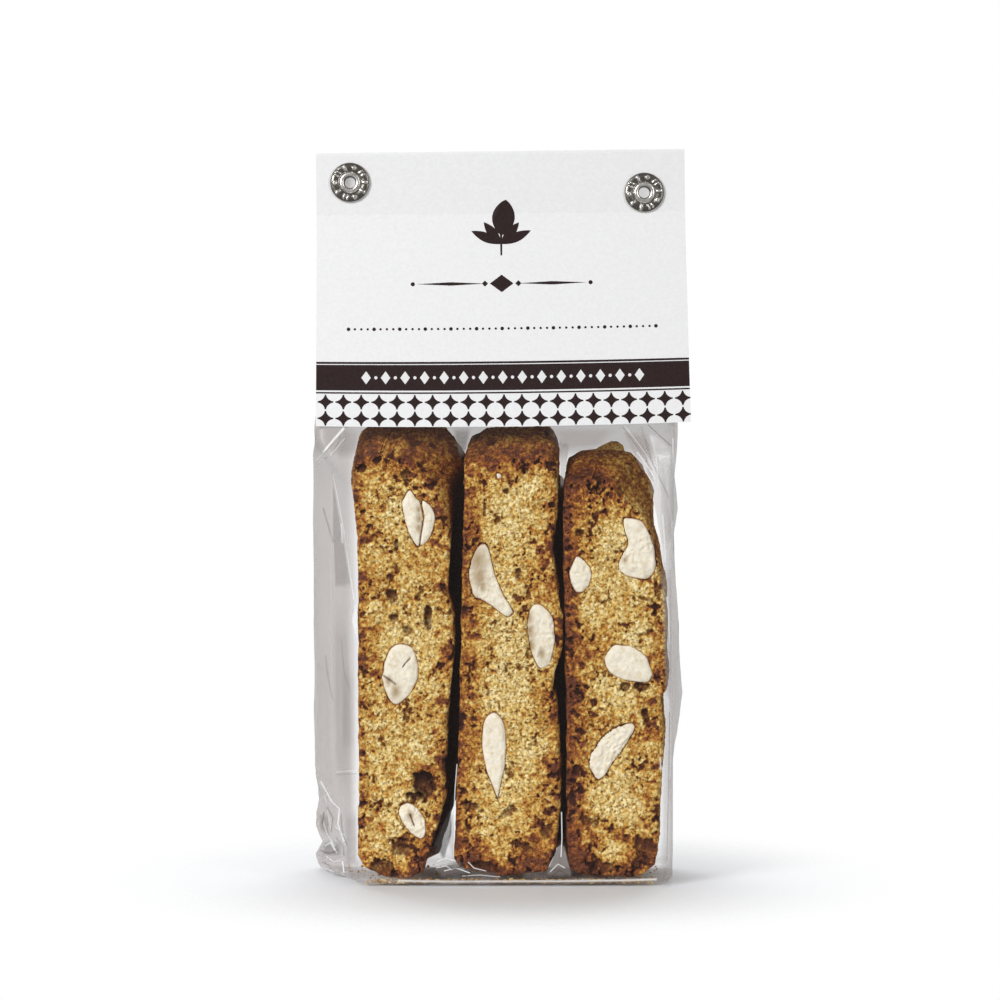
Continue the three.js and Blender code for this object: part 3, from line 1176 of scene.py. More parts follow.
# The pairs of a slice's sides are a height and a place across, those of an almond's outline
# a place across and a height.
LEFT_SLICE = Slice(
    "biscotto_front_left", Row.FRONT, 11,
    left=(
        (113, -32), (112.3, -34.5), (110.2, -37.7), (107.4, -38.3), (100.5, -37.9), (91.2, -37),
        (74.5, -36.7), (8, -36.7), (5, -35.4), (3.2, -32), (2, -28.5),
    ),
    right=(
        (113, -27), (112.2, -25.2), (110.5, -21.7), (108.3, -19.1), (105.1, -17), (101.6, -15.2),
        (98.2, -14), (93.5, -13.2), (88.6, -12.8), (81.3, -13.1), (75.8, -13.4), (70.3, -12.2),
        (61.5, -11.5), (51.1, -12.8), (43.4, -13.8), (33.9, -13.7), (31.3, -14.7), (23.1, -14.2),
        (18.8, -15), (12.3, -17.3), (8.4, -18.4), (3.7, -19.6), (2, -23),
    ),
    lean_left=(2.4, 1.4), lean_right=(0.2, 7.4), lean_up=(5.0, 8.6), gap_shade_left=0.0, right_bake=-0.1,
    almonds=(
        Almond((
            (-23.4, 103.3), (-21.7, 101.3), (-20.6, 99.8), (-19.7, 95.3), (-19.9, 92), (-20.6, 89.3),
            (-21.2, 88.2), (-23, 90.9), (-24.4, 94.8), (-25.2, 98.5), (-25.1, 100.5),
        ), rough=0.05, shades=((-20.9, 98.0, 0.7), (-20.7, 95.6, 0.9), (-20.8, 93.0, 0.8)),
            cracks=((-19.9, 95.0, -20.6, 90.0),)),
        Almond((
            (-20.2, 100.5), (-18.1, 99.4), (-16.7, 96.6), (-16.9, 94), (-18.1, 90.6), (-20.5, 88.5),
            (-20.1, 92), (-19.5, 96.4),
        ), lower=0.12, rough=0.05),
        Almond((
            (-27.7, 62.4), (-24.3, 63), (-22.3, 61.5), (-21, 55.9), (-22.1, 51.6), (-26, 47.3),
            (-28.4, 48.1), (-30.3, 52.9), (-30.3, 56.3), (-29.5, 59.4),
        ), shades=((-26.8, 50.6, 1.3), (-28.8, 53.4, 0.9)),
            cracks=((-30.1, 54.8, -26.9, 52.6), (-25.1, 57.2, -23.2, 59.4))),
        Almond((
            (-24.3, 21.8), (-21.7, 20.5), (-19.5, 17.9), (-19.1, 15.3), (-19.8, 12.1), (-22.1, 12.9),
            (-25.1, 16.2), (-26.2, 19.6),
        ), ragged=0.25, rough=0.4, shades=((-23.0, 18.0, 0.9),),
            cracks=((-23.2, 18.6, -22.2, 15.8),)),
    ),
    cavities=(
        Cavity(423, 785.5, 5.2, 8.8, -14, 3.4, 0.35), Cavity(415, 797, 4.4, 2.8, 8, 2.6, 0.4),
        Cavity(428.5, 618, 2, 8.2, -4, 2, 0.2), Cavity(391.5, 599, 2.6, 5, -12, 1.6, 0.8),
        Cavity(395, 618, 3.4, 2.2, 0, 1.6, 0.8), Cavity(406, 629, 3.4, 1.6, 30, 1.4, 0.5),
        Cavity(362, 469, 2.6, 2.2, -30, 2, 0.3), Cavity(405, 474, 3.4, 3, 30, 1.4, 0.7),
        Cavity(396, 545, 1.5, 3.2, 0, 1.6, 0.5), Cavity(400, 848, 5.6, 3.6, 30, 1.4, 0.9),
        Cavity(383, 868, 6.4, 3.8, 0, 1.6, 0.9),
    ),
)
MIDDLE_SLICE = Slice(
    "biscotto_front_middle", Row.FRONT, 12,
    left=(
        (112.4, -4.6), (111.8, -5.8), (110, -8.5), (108.3, -9), (94.6, -9.3), (76.6, -9.7),
        (48.5, -10.2), (14.7, -11.5), (6.9, -11.8), (4.8, -10.2), (3.7, -6.3), (2.4, -1),
    ),
    right=(
        (112.4, 12.6), (111.5, 14), (109.4, 14.8), (104.2, 15.1), (95.5, 14.8), (88.6, 14), (82.6, 14.2),
        (76.1, 15.1), (69.6, 16.6), (63.1, 16.6), (58.9, 15.7), (55.8, 14.2), (51.1, 14), (49, 14.8),
        (38.7, 15.6), (20.1, 15.8), (11.8, 15), (7.6, 14.5), (3.5, 12.1), (2.4, 2.6),
    ),
    # Its left edge is darkened more, as painted shade where the left slice hides it.
    lean_left=(2.2, 1.2), lean_right=(0.4, 0.6), lean_up=(5.0, 7.2), left_browning_and_shade=0.16,
    almonds=(
        Almond((
            (-3.8, 89.4), (-2.7, 87.8), (-1.2, 81.6), (1, 76.1), (3.6, 71.7), (3.3, 70.6), (1.9, 70.1),
            (-1.9, 72.9), (-4.8, 74.5), (-6.8, 75.8), (-8, 81.3), (-7.2, 85.4), (-5.7, 88.3),
        ), ragged=0.15, rough=0.3, shades=((-5.6, 84.8, 2.6), (-5.2, 80.6, 2.2), (-4.2, 78.0, 1.0))),
        Almond((
            (9.6, 73.5), (12.2, 72.2), (14, 69.6), (14.5, 64.1), (13.8, 60.2), (12.7, 57.5),
            (10.6, 56.8), (9.2, 58.9), (8.4, 61), (7.6, 64.1), (7.2, 68.3), (7.9, 71.6),
        ), rough=0.3,
            shades=((7.6, 69.6, 1.3), (7.9, 66.4, 1.4), (8.3, 62.8, 1.3), (11.2, 60.4, 1.0))),
        Almond((
            (-1.6, 45.4), (0.1, 44.3), (1.4, 41.2), (1.8, 36.8), (1.4, 31.3), (0.3, 26.4), (-0.4, 22.5),
            (-1.4, 25.3), (-3.3, 30.3), (-4.4, 35.5), (-4.4, 39.6), (-3.6, 43.5),
        )),
        Almond((
            (-0.6, 107.6), (0.5, 107.3), (0.7, 106.3), (-0.2, 105.9), (-0.8, 106.7),
        )),
    ),
    cavities=(
        Cavity(506, 491, 2, 1.8, 0, 1.4, 0.6), Cavity(525, 471, 2, 1.8, 0, 1.6, 0.5),
        Cavity(518, 574, 1.8, 2.6, 0, 1.2, 0.6), Cavity(470, 806, 5.6, 2.4, 25, 1.2, 0.7),
        Cavity(547, 831, 2.8, 3.4, 0, 1.4, 0.6), Cavity(525, 846, 6.4, 2.2, 18, 1.5, 0.8),
        Cavity(468, 829, 1.4, 3.4, -20, 1.4, 0.4), Cavity(487, 868, 7, 2.6, 12, 1.6, 0.8),
        Cavity(508, 812, 4.4, 2.2, -40, 0.9, 0.5),
    ),
)
RIGHT_SLICE = Slice(
    "biscotto_front_right", Row.FRONT, 13,
    left=(
        (106.9, 23), (106.3, 19.7), (104.7, 17.1), (100.5, 16.6), (74.5, 17.1), (48.5, 17.6),
        (6.9, 17.6), (4.3, 18.4), (3, 21), (2.2, 27),
    ),
    right=(
        (106.9, 26), (106.2, 29.6), (103.6, 31.8), (100.6, 33.4), (98, 35.8), (95.6, 38), (91.8, 39.6),
        (84.9, 41.2), (77, 42.7), (75.6, 43.4), (51.1, 43.6), (49, 42), (38.1, 42.9), (22.5, 41.8),
        (9.5, 41.4), (5.3, 40.6), (3.2, 37.9), (2.2, 35),
    ),
    lean_left=(0.8, 1.2), lean_right=(0.3, 5.6), lean_up=(5.0, 7.0), gap_shade_right=0.0,
    almonds=(
        Almond((
            (32.3, 95.9), (34.7, 95.9), (36.9, 95.1), (38.6, 92.5), (40.1, 88.9), (40.8, 84.3),
            (40.1, 81.3), (38.6, 79.7), (36.4, 79.9), (32.1, 81.4), (31.1, 83.4), (31.6, 85.5),
            (33.4, 89.4), (32.5, 92.9),
        ), ragged=0.2, rough=0.35, shades=((32.8, 84.9, 0.7),)),
        Almond((
            (20.5, 86), (23, 83.8), (24.1, 81.2), (23, 77.8), (20.5, 76.3), (19, 78.2), (18.1, 81.2),
            (19, 83.8),
        ), ragged=0.25, rough=0.25),
        Almond((
            (30.4, 62.9), (34.7, 62.2), (38.2, 59.7), (39.7, 56.2), (39.6, 54.5), (38.3, 53),
            (32.9, 53.6), (28.8, 55.7), (27.5, 59), (28.6, 61.6),
        )),
        Almond((
            (35, 42.2), (35.2, 40.7), (32.5, 35.8), (29.1, 31.2), (26.7, 27.9), (25, 27.7), (23.4, 31.6),
            (24.2, 34.9), (27.1, 39.1), (30.8, 41.6), (33.3, 42.4),
        ), ragged=0.8, rough=0.6),
    ),
    cavities=(
        Cavity(624, 687, 2.8, 2.2, 0, 1.4, 0.5), Cavity(642, 686.5, 4, 2.2, 0, 2.2, 0.3),
        Cavity(645, 715, 1.9, 4.8, -14, 2, 0.3), Cavity(621, 491, 2.2, 3.4, 10, 1.6, 0.5),
        Cavity(596, 490, 2, 2.2, 0, 1.6, 0.5), Cavity(581, 534, 3, 2, 30, 1.5, 0.7),
        Cavity(589, 821, 5, 3.2, 30, 1.2, 0.9), Cavity(645, 850, 5.6, 6.4, 20, 1.3, 0.9),
        Cavity(603, 866, 7.6, 3.4, 20, 1.3, 0.9),
    ),
    browned_bottom=19.0, browned_top=12.0, foot_bake=0.68, left_browning_and_shade=0.38, right_bake=-0.22,
)


@dataclass
class Biscotti:
    """The two rows of slices, with their almonds."""

    front: tuple[Slice, ...] = (LEFT_SLICE, MIDDLE_SLICE, RIGHT_SLICE)
    # How far left sides, right sides and almonds of the back row lie from those of the front row.
    back_shifts: tuple[tuple[float, float, float], ...] = (
        (2.6, 3.4, 3.0), (2.2, 0.2, 1.0), (-1.0, -0.4, -0.6),
    )

    def back_slices(self) -> list[Slice]:
        """Describes the back row: slices of the same log turned the other way, a little to the right.

        Returns:
            Its three slices, from left to right as seen from the front.
        """
        crowns = (
            (
                ((112, -30), (111, -34)),
                ((112, -17), (111.4, -15.6), (108, -13.2), (104, -10.4), (100, -9.6)),
            ),
            (
                ((110.2, -2), (109, -6)),
                ((110.2, 8), (108, 11.6), (102, 12.2), (98, 16.7), (6, 16.4)),
            ),
            (
                ((108.6, 29), (108, 27.4), (107, 25.2), (105, 22.4), (101, 17.4)),
                (
                    (108.6, 30.4), (107.6, 31.6), (105, 32.6), (101, 33.4), (95, 36.4), (84, 39.8),
                    (64, 42.2),
                ),
            ),
        )
        names = ("biscotto_back_left", "biscotto_back_middle", "biscotto_back_right")
        backs = []
        for number, (slice_, name) in enumerate(zip(self.front, names)):
            sides = []
            fronts = (slice_.left, slice_.right)
            for side, crown, shift in zip(fronts, crowns[number], self.back_shifts[number]):
                lowest = min(z for z, _ in crown)
                sides.append(crown + tuple((z, x + shift) for z, x in side if z < lowest - 2.0))
            almonds = tuple(almond.mirrored(self.back_shifts[number][2], 112.0) for almond in slice_.almonds)
            backs.append(Slice(
                name, Row.BACK, 31 + number, left=sides[0], right=sides[1], lean_left=slice_.lean_left,
                lean_right=(slice_.lean_right[0], 1.0), lean_up=slice_.lean_up, almonds=almonds, spacing=0.52,
                gap_shade_left=slice_.gap_shade_left, gap_shade_right=slice_.gap_shade_right,
            ))
        return backs

    def build(self) -> list[Piece]:
        """Makes the slices and almonds of both rows.

        Returns:
            The new pieces.
        """
        crumb = CrumbFinish().material()
        flesh = AlmondFinish().material()
        pieces = []
        for row, slices in ((Row.FRONT, self.front), (Row.BACK, self.back_slices())):
            pieces += [one.build(crumb) for one in slices]
            almonds = [almond for one in slices for almond in one.almonds]
            name = f"almonds_{row.name.lower()}"
            rings, spokes = (20, 112) if row is Row.FRONT else (12, 64)
            kernels = AlmondSet(name, row, slices[0].face_y, almonds, 70, rings, spokes)
            pieces.append(kernels.build(flesh))
        return pieces


@dataclass
class HeaderCard:
    """The folded card: two panels that splay from a round fold, rolled a little to the right."""

    width: float = 97.5
    height: float = 72.7
    thickness: float = 0.45
    centre: tuple[float, float, float] = (0.65, 0.0, 156.6)
    roll: float = math.radians(0.66)
    fold_radius: float = 1.3
    clamped: float = 17.0
    splay: float = 18.5
    splay_power: float = 1.12
    panel_steps: int = 44
    fold_steps: int = 12
    columns: int = 90
    hole_radius: float = 2.85
    sag: float = 0.62
    holes: Outline = ((-39.8, 27.9), (38.0, 24.4))

    def face(self, height: np.ndarray) -> np.ndarray:
        """How far the card's outer face lies from its middle plane.

        Args:
            height: Heights over the card's centre.

        Returns:
            One distance for each height.
        """
        bend = self.height / 2.0 - self.clamped
        share = np.maximum(0.0, (bend - height) / (bend + self.height / 2.0))
        return self.fold_radius + (self.splay - self.fold_radius) * share ** self.splay_power

    def place(self, local: np.ndarray) -> np.ndarray:
        """Moves points from the card's own frame to the pack's.

        Args:
            local: Points of the card hanging straight, from its centre.

        Returns:
            The points in the pack's frame.
        """
        cos, sin = math.cos(self.roll), math.sin(self.roll)
        below = self.height / 2.0 - self.clamped - local[:, 2]
        free = np.clip(below / (self.height - self.clamped), 0.0, 1.0)
        bow = self.sag * free * (1.0 - (2.0 * local[:, 0] / self.width) ** 2)
        x = local[:, 0] * cos - local[:, 2] * sin
        z = local[:, 0] * sin + local[:, 2] * cos - bow
        return np.stack([x, local[:, 1], z], axis=1) + np.array(self.centre)

    def on_front(self, x: np.ndarray, height: np.ndarray, lift: float, side: float = -1.0) -> np.ndarray:
        """Points a lift outside a panel, by places from the card's centre, with side 1 for the back."""
        y = side * (self.face(height) + lift)
        return self.place(np.stack([x, y, height], axis=1))

    def _section(self, offset: float) -> np.ndarray:
        """The section of one face of the card.

        Args:
            offset: How far it lies inside the outer face.

        Returns:
            Y and Z, from front to back.
        """
        heights = np.linspace(-self.height / 2.0, self.height / 2.0 - self.clamped, self.panel_steps)
        under_fold = self.height / 2.0 - self.fold_radius - 0.4
        heights = np.append(heights, np.linspace(heights[-1] + 2.0, under_fold, 8))
        front = np.stack([-(self.face(heights) - offset), heights], axis=1)
        angles = np.linspace(math.pi, 0.0, self.fold_steps + 1)
        radius = self.fold_radius - offset
        fold_middle = self.height / 2.0 - self.fold_radius
        arc = np.stack([radius * np.cos(angles), fold_middle + radius * np.sin(angles)], 1)
        back = front[::-1] * np.array([-1.0, 1.0])
        return np.concatenate([front, arc, back])

    def build(self) -> Piece:
        """Makes the card as a closed sheet with two holes.

        Returns:
            The new piece.
        """
        section = np.concatenate([self._section(0.0), self._section(self.thickness)[::-1]])
        across = np.linspace(-self.width / 2.0, self.width / 2.0, self.columns + 1)
        count = len(section)
        local = np.zeros((self.columns + 1, count, 3))
        local[..., 0] = across[:, None]
        local[..., 1] = section[None, :, 0]
        local[..., 2] = section[None, :, 1]
        faces = grid_faces(self.columns + 1, count, closed=True).tolist()
        half = count // 2
        for start, flip in ((0, False), (self.columns * count, True)):
            for i in range(half - 1):
                quad = [start + i, start + i + 1, start + count - 2 - i, start + count - 1 - i]
                faces.append(quad[::-1] if flip else quad)
        material = CardFinish().material()
        points = self.place(local.reshape(-1, 3))
        card = make_piece("header_card_sheet", points, faces, material, "card", smooth=False)
        self._punch(card)
        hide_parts("header_card")
        return card

    def _punch(self, card: Piece) -> None:
        """Cuts the rivets' holes.

        Args:
            card: The card's piece.
        """
        for x, z in self.holes:
            bpy.ops.mesh.primitive_cylinder_add(vertices=48, radius=self.hole_radius * MM, depth=0.03)
            cutter = bpy.context.object
            spot = self.place(np.array([[x, 0.0, z]]))[0] * MM
            cutter.matrix_world = Matrix.Translation(Vector(spot)) @ Matrix.Rotation(math.pi / 2.0, 4, "X")
            modifier = card.modifiers.new("hole", "BOOLEAN")
            modifier.operation = "DIFFERENCE"
            modifier.object = cutter
            modifier.solver = "EXACT"
            bpy.context.view_layer.objects.active = card
            bpy.ops.object.modifier_apply(modifier=modifier.name)
            bpy.data.objects.remove(cutter)


@dataclass
class CardPrint:
    """The card's print: rules, a band, star rows and small ornaments, as thin plates of ink."""

    card: HeaderCard
    pitch: float = 4.655
    stars: int = 21
    star_shift: float = 0.27
    star_tip: float = 0.88
    star_spot: float = 0.935
    star_rows: tuple[float, float] = (2.09, 6.36)
    lower_rule: tuple[float, float] = (8.54, 8.94)
    band: tuple[float, float] = (9.38, 16.05)
    upper_rule: tuple[float, float] = (16.3, 16.84)
    slant: float = 0.925
    lift: float = 0.04

    def _plate(self, outline: np.ndarray, side: float, level: int = 1) -> Shell:
        """A flat plate of ink over an outline.

        Args:
            outline: Places across the card's middle and above its lower edge.
            side: -1 on the front panel and 1 on the back one.
            level: 1 for ink on card, 2 for what lies on ink.

        Returns:
            Its points and faces.
        """
        x = outline[:, 0] * -side
        height = outline[:, 1] - self.card.height / 2.0
        top = self.card.on_front(x, height, self.lift * level, side)
        under = self.card.on_front(x, height, -self.lift, side)
        count = len(outline)
        walls = [[i, (i + 1) % count, count + (i + 1) % count, count + i] for i in range(count)]
        faces = [list(range(count))[::-1], list(range(count, 2 * count))] + walls
        return np.concatenate([top, under]), faces

    def _stripe(self, span: tuple[float, float], side: float) -> Shell:
        """A stripe of ink across the whole card.

        Args:
            span: Its lower and upper heights above the card's lower edge.
            side: -1 on the front panel and 1 on the back one.

        Returns:
            Its points and faces.
        """
        rows, columns = 5, 41
        across, height = np.meshgrid(
            np.linspace(-0.5, 0.5, columns) * self.card.width * -side,
            np.linspace(*span, rows) - self.card.height / 2.0,
        )
        top = self.card.on_front(across.ravel(), height.ravel(), self.lift, side)
        under = self.card.on_front(across.ravel(), height.ravel(), -self.lift, side)
        count = len(top)
        border = border_of(rows, columns)
        faces = grid_faces(rows, columns).tolist() + grid_faces(rows, columns, count)[:, ::-1].tolist()
        faces += join_rings(border, border + count).tolist()
        return np.concatenate([top, under]), faces

    def _star(self, x: float, height: float) -> np.ndarray:
        """A four-pointed star with hollow sides, as round spots on a square lattice leave between them.

        Args:
            x: Its middle's place across.
            height: Its middle's height.

        Returns:
            Its outline.
        """
        half = self.pitch / 2.0
        cut = math.acos((1.0 - self.star_tip) / self.star_spot)
        angles = np.linspace(math.pi + cut, 1.5 * math.pi - cut, 9)
        arc = 1.0 + self.star_spot * np.stack([np.cos(angles), np.sin(angles)], axis=1)
        points = [arc @ np.array([[c, s], [-s, c]]) for c, s in ((1, 0), (0, 1), (-1, 0), (0, -1))]
        return np.concatenate(points) * half * np.array([1.0, self.slant]) + np.array([x, height])

    @staticmethod
    def _spread(count: int, step: float) -> list[float]:
        """Places across of a row of equal steps round the middle."""
        return [(number - (count - 1) / 2.0) * step for number in range(count)]

    @staticmethod
    def _lozenge(x: float, height: float, wide: float, tall: float) -> np.ndarray:
        """A lozenge by its middle and its size."""
        across, up = wide / 2.0, tall / 2.0
        return np.array([(x + across, height), (x, height + up), (x - across, height), (x, height - up)])

    @staticmethod
    def _dot(x: float, height: float, size: float) -> np.ndarray:
        """A round dot by its middle and its width."""
        angles = np.linspace(0.0, 2.0 * math.pi, 16, endpoint=False)
        return np.stack([x + size / 2 * np.cos(angles), height + size / 2 * np.sin(angles)], axis=1)

    @staticmethod
    def _leaf(
        x: float, height: float, length: float, wide: float, tilt: float, tip: float = 0.9,
    ) -> np.ndarray:
        """A pointed leaf from its stalk end.

        Args:
            x: Stalk end's place across.
            height: Stalk end's height.
            length: Its length.
            wide: Its width.
            tilt: Its lean from upright to the right, in degrees.
            tip: How sharp its tip is.

        Returns:
            Its outline.
        """
        share = np.linspace(0.0, 1.0, 15)
        half = wide / 2.0 * np.sin(math.pi * share) ** tip
        along = np.concatenate([share, share[::-1][1:-1]]) * length
        across = np.concatenate([half, -half[::-1][1:-1]])
        angle = math.radians(tilt)
        px = x + along * math.sin(angle) + across * math.cos(angle)
        pz = height + along * math.cos(angle) - across * math.sin(angle)
        return np.stack([px, pz], axis=1)[::-1]

    def _dark(self, full: bool) -> list[np.ndarray]:
        """Outlines of the dark ink.

        Args:
            full: Whether the ornaments above the band are there too.

        Returns:
            The outlines.
        """
        shapes = []
        for row in self.star_rows:
            for spot in self._spread(self.stars, self.pitch):
                shapes.append(self._star(spot + self.star_shift, row))
        if not full:
            return shapes
        rule, dots = 37.2, 25.4
        shapes.append(self._lozenge(0.0, rule, 6.2, 4.6))
        for side in (-1.0, 1.0):
            shapes.append(self._lozenge(side * 13.4, rule, 18.0, 0.9))
            shapes.append(self._lozenge(side * 4.4, rule, 1.6, 1.6))
            shapes.append(self._dot(side * 23.4, rule, 1.1))
        for number, spot in enumerate(self._spread(49, 1.68)):
            shapes.append(self._dot(spot, dots, 0.62 if number % 4 else 0.95))
        foot = 46.4
        shapes.append(self._leaf(0.0, foot + 3.4, 9.6, 6.0, 8.0, 0.72))
        for tilt, length in ((-66.0, 8.6), (66.0, 8.6), (-38.0, 7.4), (40.0, 7.4)):
            shapes.append(self._leaf(0.0, foot + 1.2, length, 2.5, tilt))
        stalk = ((0.22, foot - 1.8), (0.3, foot + 3.6), (-0.3, foot + 3.6), (-0.22, foot - 1.8))
        shapes.append(np.array(stalk))
        return shapes

    def _light(self) -> list[np.ndarray]:
        """Outlines of what is left white in the band.

        Returns:
            The outlines.
        """
        middle = (self.band[0] + self.band[1]) / 2.0
        shapes = []
        step = 5.1
        for number, spot in enumerate(self._spread(15, step)):
            shapes.append(self._lozenge(spot, middle, 2.5, 3.4))
            if number:
                shapes.append(self._dot(spot - step / 2.0, middle, 0.85))
        return shapes

    def build(self) -> list[Piece]:
        """Makes the ink of both panels, and what the band leaves white.

        Returns:
            The new pieces.
        """
        dark, light = [], []
        for side in (-1.0, 1.0):
            dark += [self._stripe(span, side) for span in (self.lower_rule, self.band, self.upper_rule)]
            dark += [self._plate(shape, side) for shape in self._dark(side < 0.0)]
            light += [self._plate(shape, side, 2) for shape in self._light()]
        ink = InkFinish().material()
        white = CardFinish(srgb(236, 236, 236), srgb(228, 228, 228)).material()
        return [
            make_piece("card_print_dark", *merged(dark), ink, "print", smooth=False),
            make_piece("card_print_light", *merged(light), white, "card", smooth=False),
        ]


@dataclass
class HollowRivet:
    """A hollow rivet: a domed flange with raised marks and a rolled rim in front, a flat ring behind."""

    name: str
    node: str
    x: float
    z: float
    turn: float
    radius: float = 5.3
    back_radius: float = 4.4
    barrel: float = 2.5
    bore: float = 1.45
    clearance: float = 0.35
    segments: int = 216

    def _profile(self, half: float) -> np.ndarray:
        """The rivet's section, with its corners rounded twice.

        Args:
            half: Half the thickness of what it holds.

        Returns:
            Radius and Y of the section's points.
        """
        front, back = -(half + self.clearance), half + self.clearance
        corners = np.array([
            (self.bore, back + 0.35), (self.bore, front - 0.3), (self.bore + 0.12, front - 0.75),
            (2.0, front - 0.95), (2.5, front - 0.92), (2.8, front - 0.62), (3.05, front - 0.42),
            (3.4, front - 0.5), (3.9, front - 0.62), (4.4, front - 0.6), (4.9, front - 0.44),
            (5.22, front - 0.2), (self.radius, front), (5.0, front), (self.barrel, front),
            (self.barrel, back), (self.back_radius, back), (self.back_radius, back + 0.35),
            (3.8, back + 0.75), (2.0, back + 0.75),
        ])
        for _ in range(2):
            after = np.roll(corners, -1, axis=0)
            halves = [0.75 * corners + 0.25 * after, 0.25 * corners + 0.75 * after]
            corners = np.stack(halves, axis=1).reshape(-1, 2)
        return corners

    def _marks(self, radius: np.ndarray, angle: np.ndarray) -> np.ndarray:
        """Raised bars and dots round the flange.

        Args:
            radius: Distances from the rivet's middle.
            angle: Directions, in radians.

        Returns:
            1 on a mark, 0 between, for each place.
        """
        count = 10
        sector = (angle / (2.0 * math.pi) * count) % count
        number = np.floor(sector)
        across = (sector - number - 0.5) * 2.0 * math.pi / count * radius
        kind = number % 3
        aside, off = np.abs(across), np.abs(radius - 3.95)
        bar = fall(aside, 0.2, 0.5) * fall(off, 0.7, 1.0)
        dot = fall(np.hypot(across, radius - 4.0), 0.45, 0.75)
        pair = fall(np.abs(aside - 0.5), 0.12, 0.34) * fall(off, 0.55, 0.85)
        return np.where(kind == 0, bar, np.where(kind == 1, pair, dot))

    def build(self, card: HeaderCard, material: Material) -> Piece:
        """Makes the rivet where it goes through the card.

        Args:
            card: The card that it holds.
            material: Its finish.

        Returns:
            The new piece.
        """
        profile = self._profile(card.fold_radius)
        angles = np.linspace(0.0, 2.0 * math.pi, self.segments, endpoint=False)
        radius = np.repeat(profile[:, 0][:, None], self.segments, axis=1)
        depth = np.repeat(profile[:, 1][:, None], self.segments, axis=1)
        angle = np.repeat(angles[None, :], len(profile), axis=0)
        facing = depth < -(card.fold_radius + self.clearance) - 0.1
        marks = self._marks(radius, angle + self.turn) * facing
        depth = depth - 0.3 * marks
        rim = facing * fall(np.abs(radius - 2.25), 0.35, 0.75)
        edge = facing * rise(radius, 5.0, 5.2)
        raised = np.clip(marks + rim + 0.6 * edge + (~facing) * 0.7, 0.0, 1.0)
        local = np.stack([
            self.x + radius * np.cos(angle), depth, self.z + radius * np.sin(angle),
        ], axis=-1).reshape(-1, 3)
        faces = grid_faces(len(profile), self.segments, closed=True).tolist()
        last = (len(profile) - 1) * self.segments
        for i in range(self.segments):
            after = (i + 1) % self.segments
            faces.append([last + i, last + after, after, i])
        piece = make_piece(self.name, card.place(local), faces, material, "metal", {"raised": raised.ravel()})
        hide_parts(self.node)
        return piece


Pixel = tuple[float, float]


# Facets and glints are painted light on the film: painted highlights where they are whiter than the film,
# painted shade where they are darker.
@dataclass(frozen=True)
class Facet:
    """A facet between folds of the film, by its four corners in the photograph, in turn."""

    corners: tuple[Pixel, Pixel, Pixel, Pixel]
    haze: float
    painted_light: float
    fade: float = 0.25

    def patches(self) -> list[tuple[tuple[Pixel, ...], float, float, float]]:
        """Its corners, haze, painted light and the share of it that fades out at each edge."""
        return [(self.corners, self.haze, self.painted_light, self.fade)]


# A painted highlight along a fold's crest; with a number below 0 it is painted shade.
@dataclass(frozen=True)
class Glint:
    """A fold of the film that catches the light, by the line of its crest in the photograph."""

    line: tuple[Pixel, ...]
    width: float
    haze: float = 0.8
    painted_light: float = 1.0
    end_width: float | None = None

    def patches(self) -> list[tuple[tuple[Pixel, ...], float, float, float]]:
        """Its straight parts, as patches.

        Returns:
            Corners, haze and painted light of each, and no fading by shares, as only its sides fade.
        """
        last = self.width if self.end_width is None else self.end_width
        widths = np.linspace(self.width, last, len(self.line))
        across = []
        for number in range(len(self.line)):
            start = np.array(self.line[max(0, number - 1)])
            end = np.array(self.line[min(len(self.line) - 1, number + 1)])
            run = (end - start) / np.linalg.norm(end - start)
            across.append(np.array([-run[1], run[0]]) * widths[number] / 2.0)
        parts = []
        for number in range(len(self.line) - 1):
            start, end = np.array(self.line[number]), np.array(self.line[number + 1])
            before, after = across[number], across[number + 1]
            corners = (tuple(start - before), tuple(end - after), tuple(end + after), tuple(start + before))
            parts.append((corners, self.haze, self.painted_light, 0.0))
        return parts
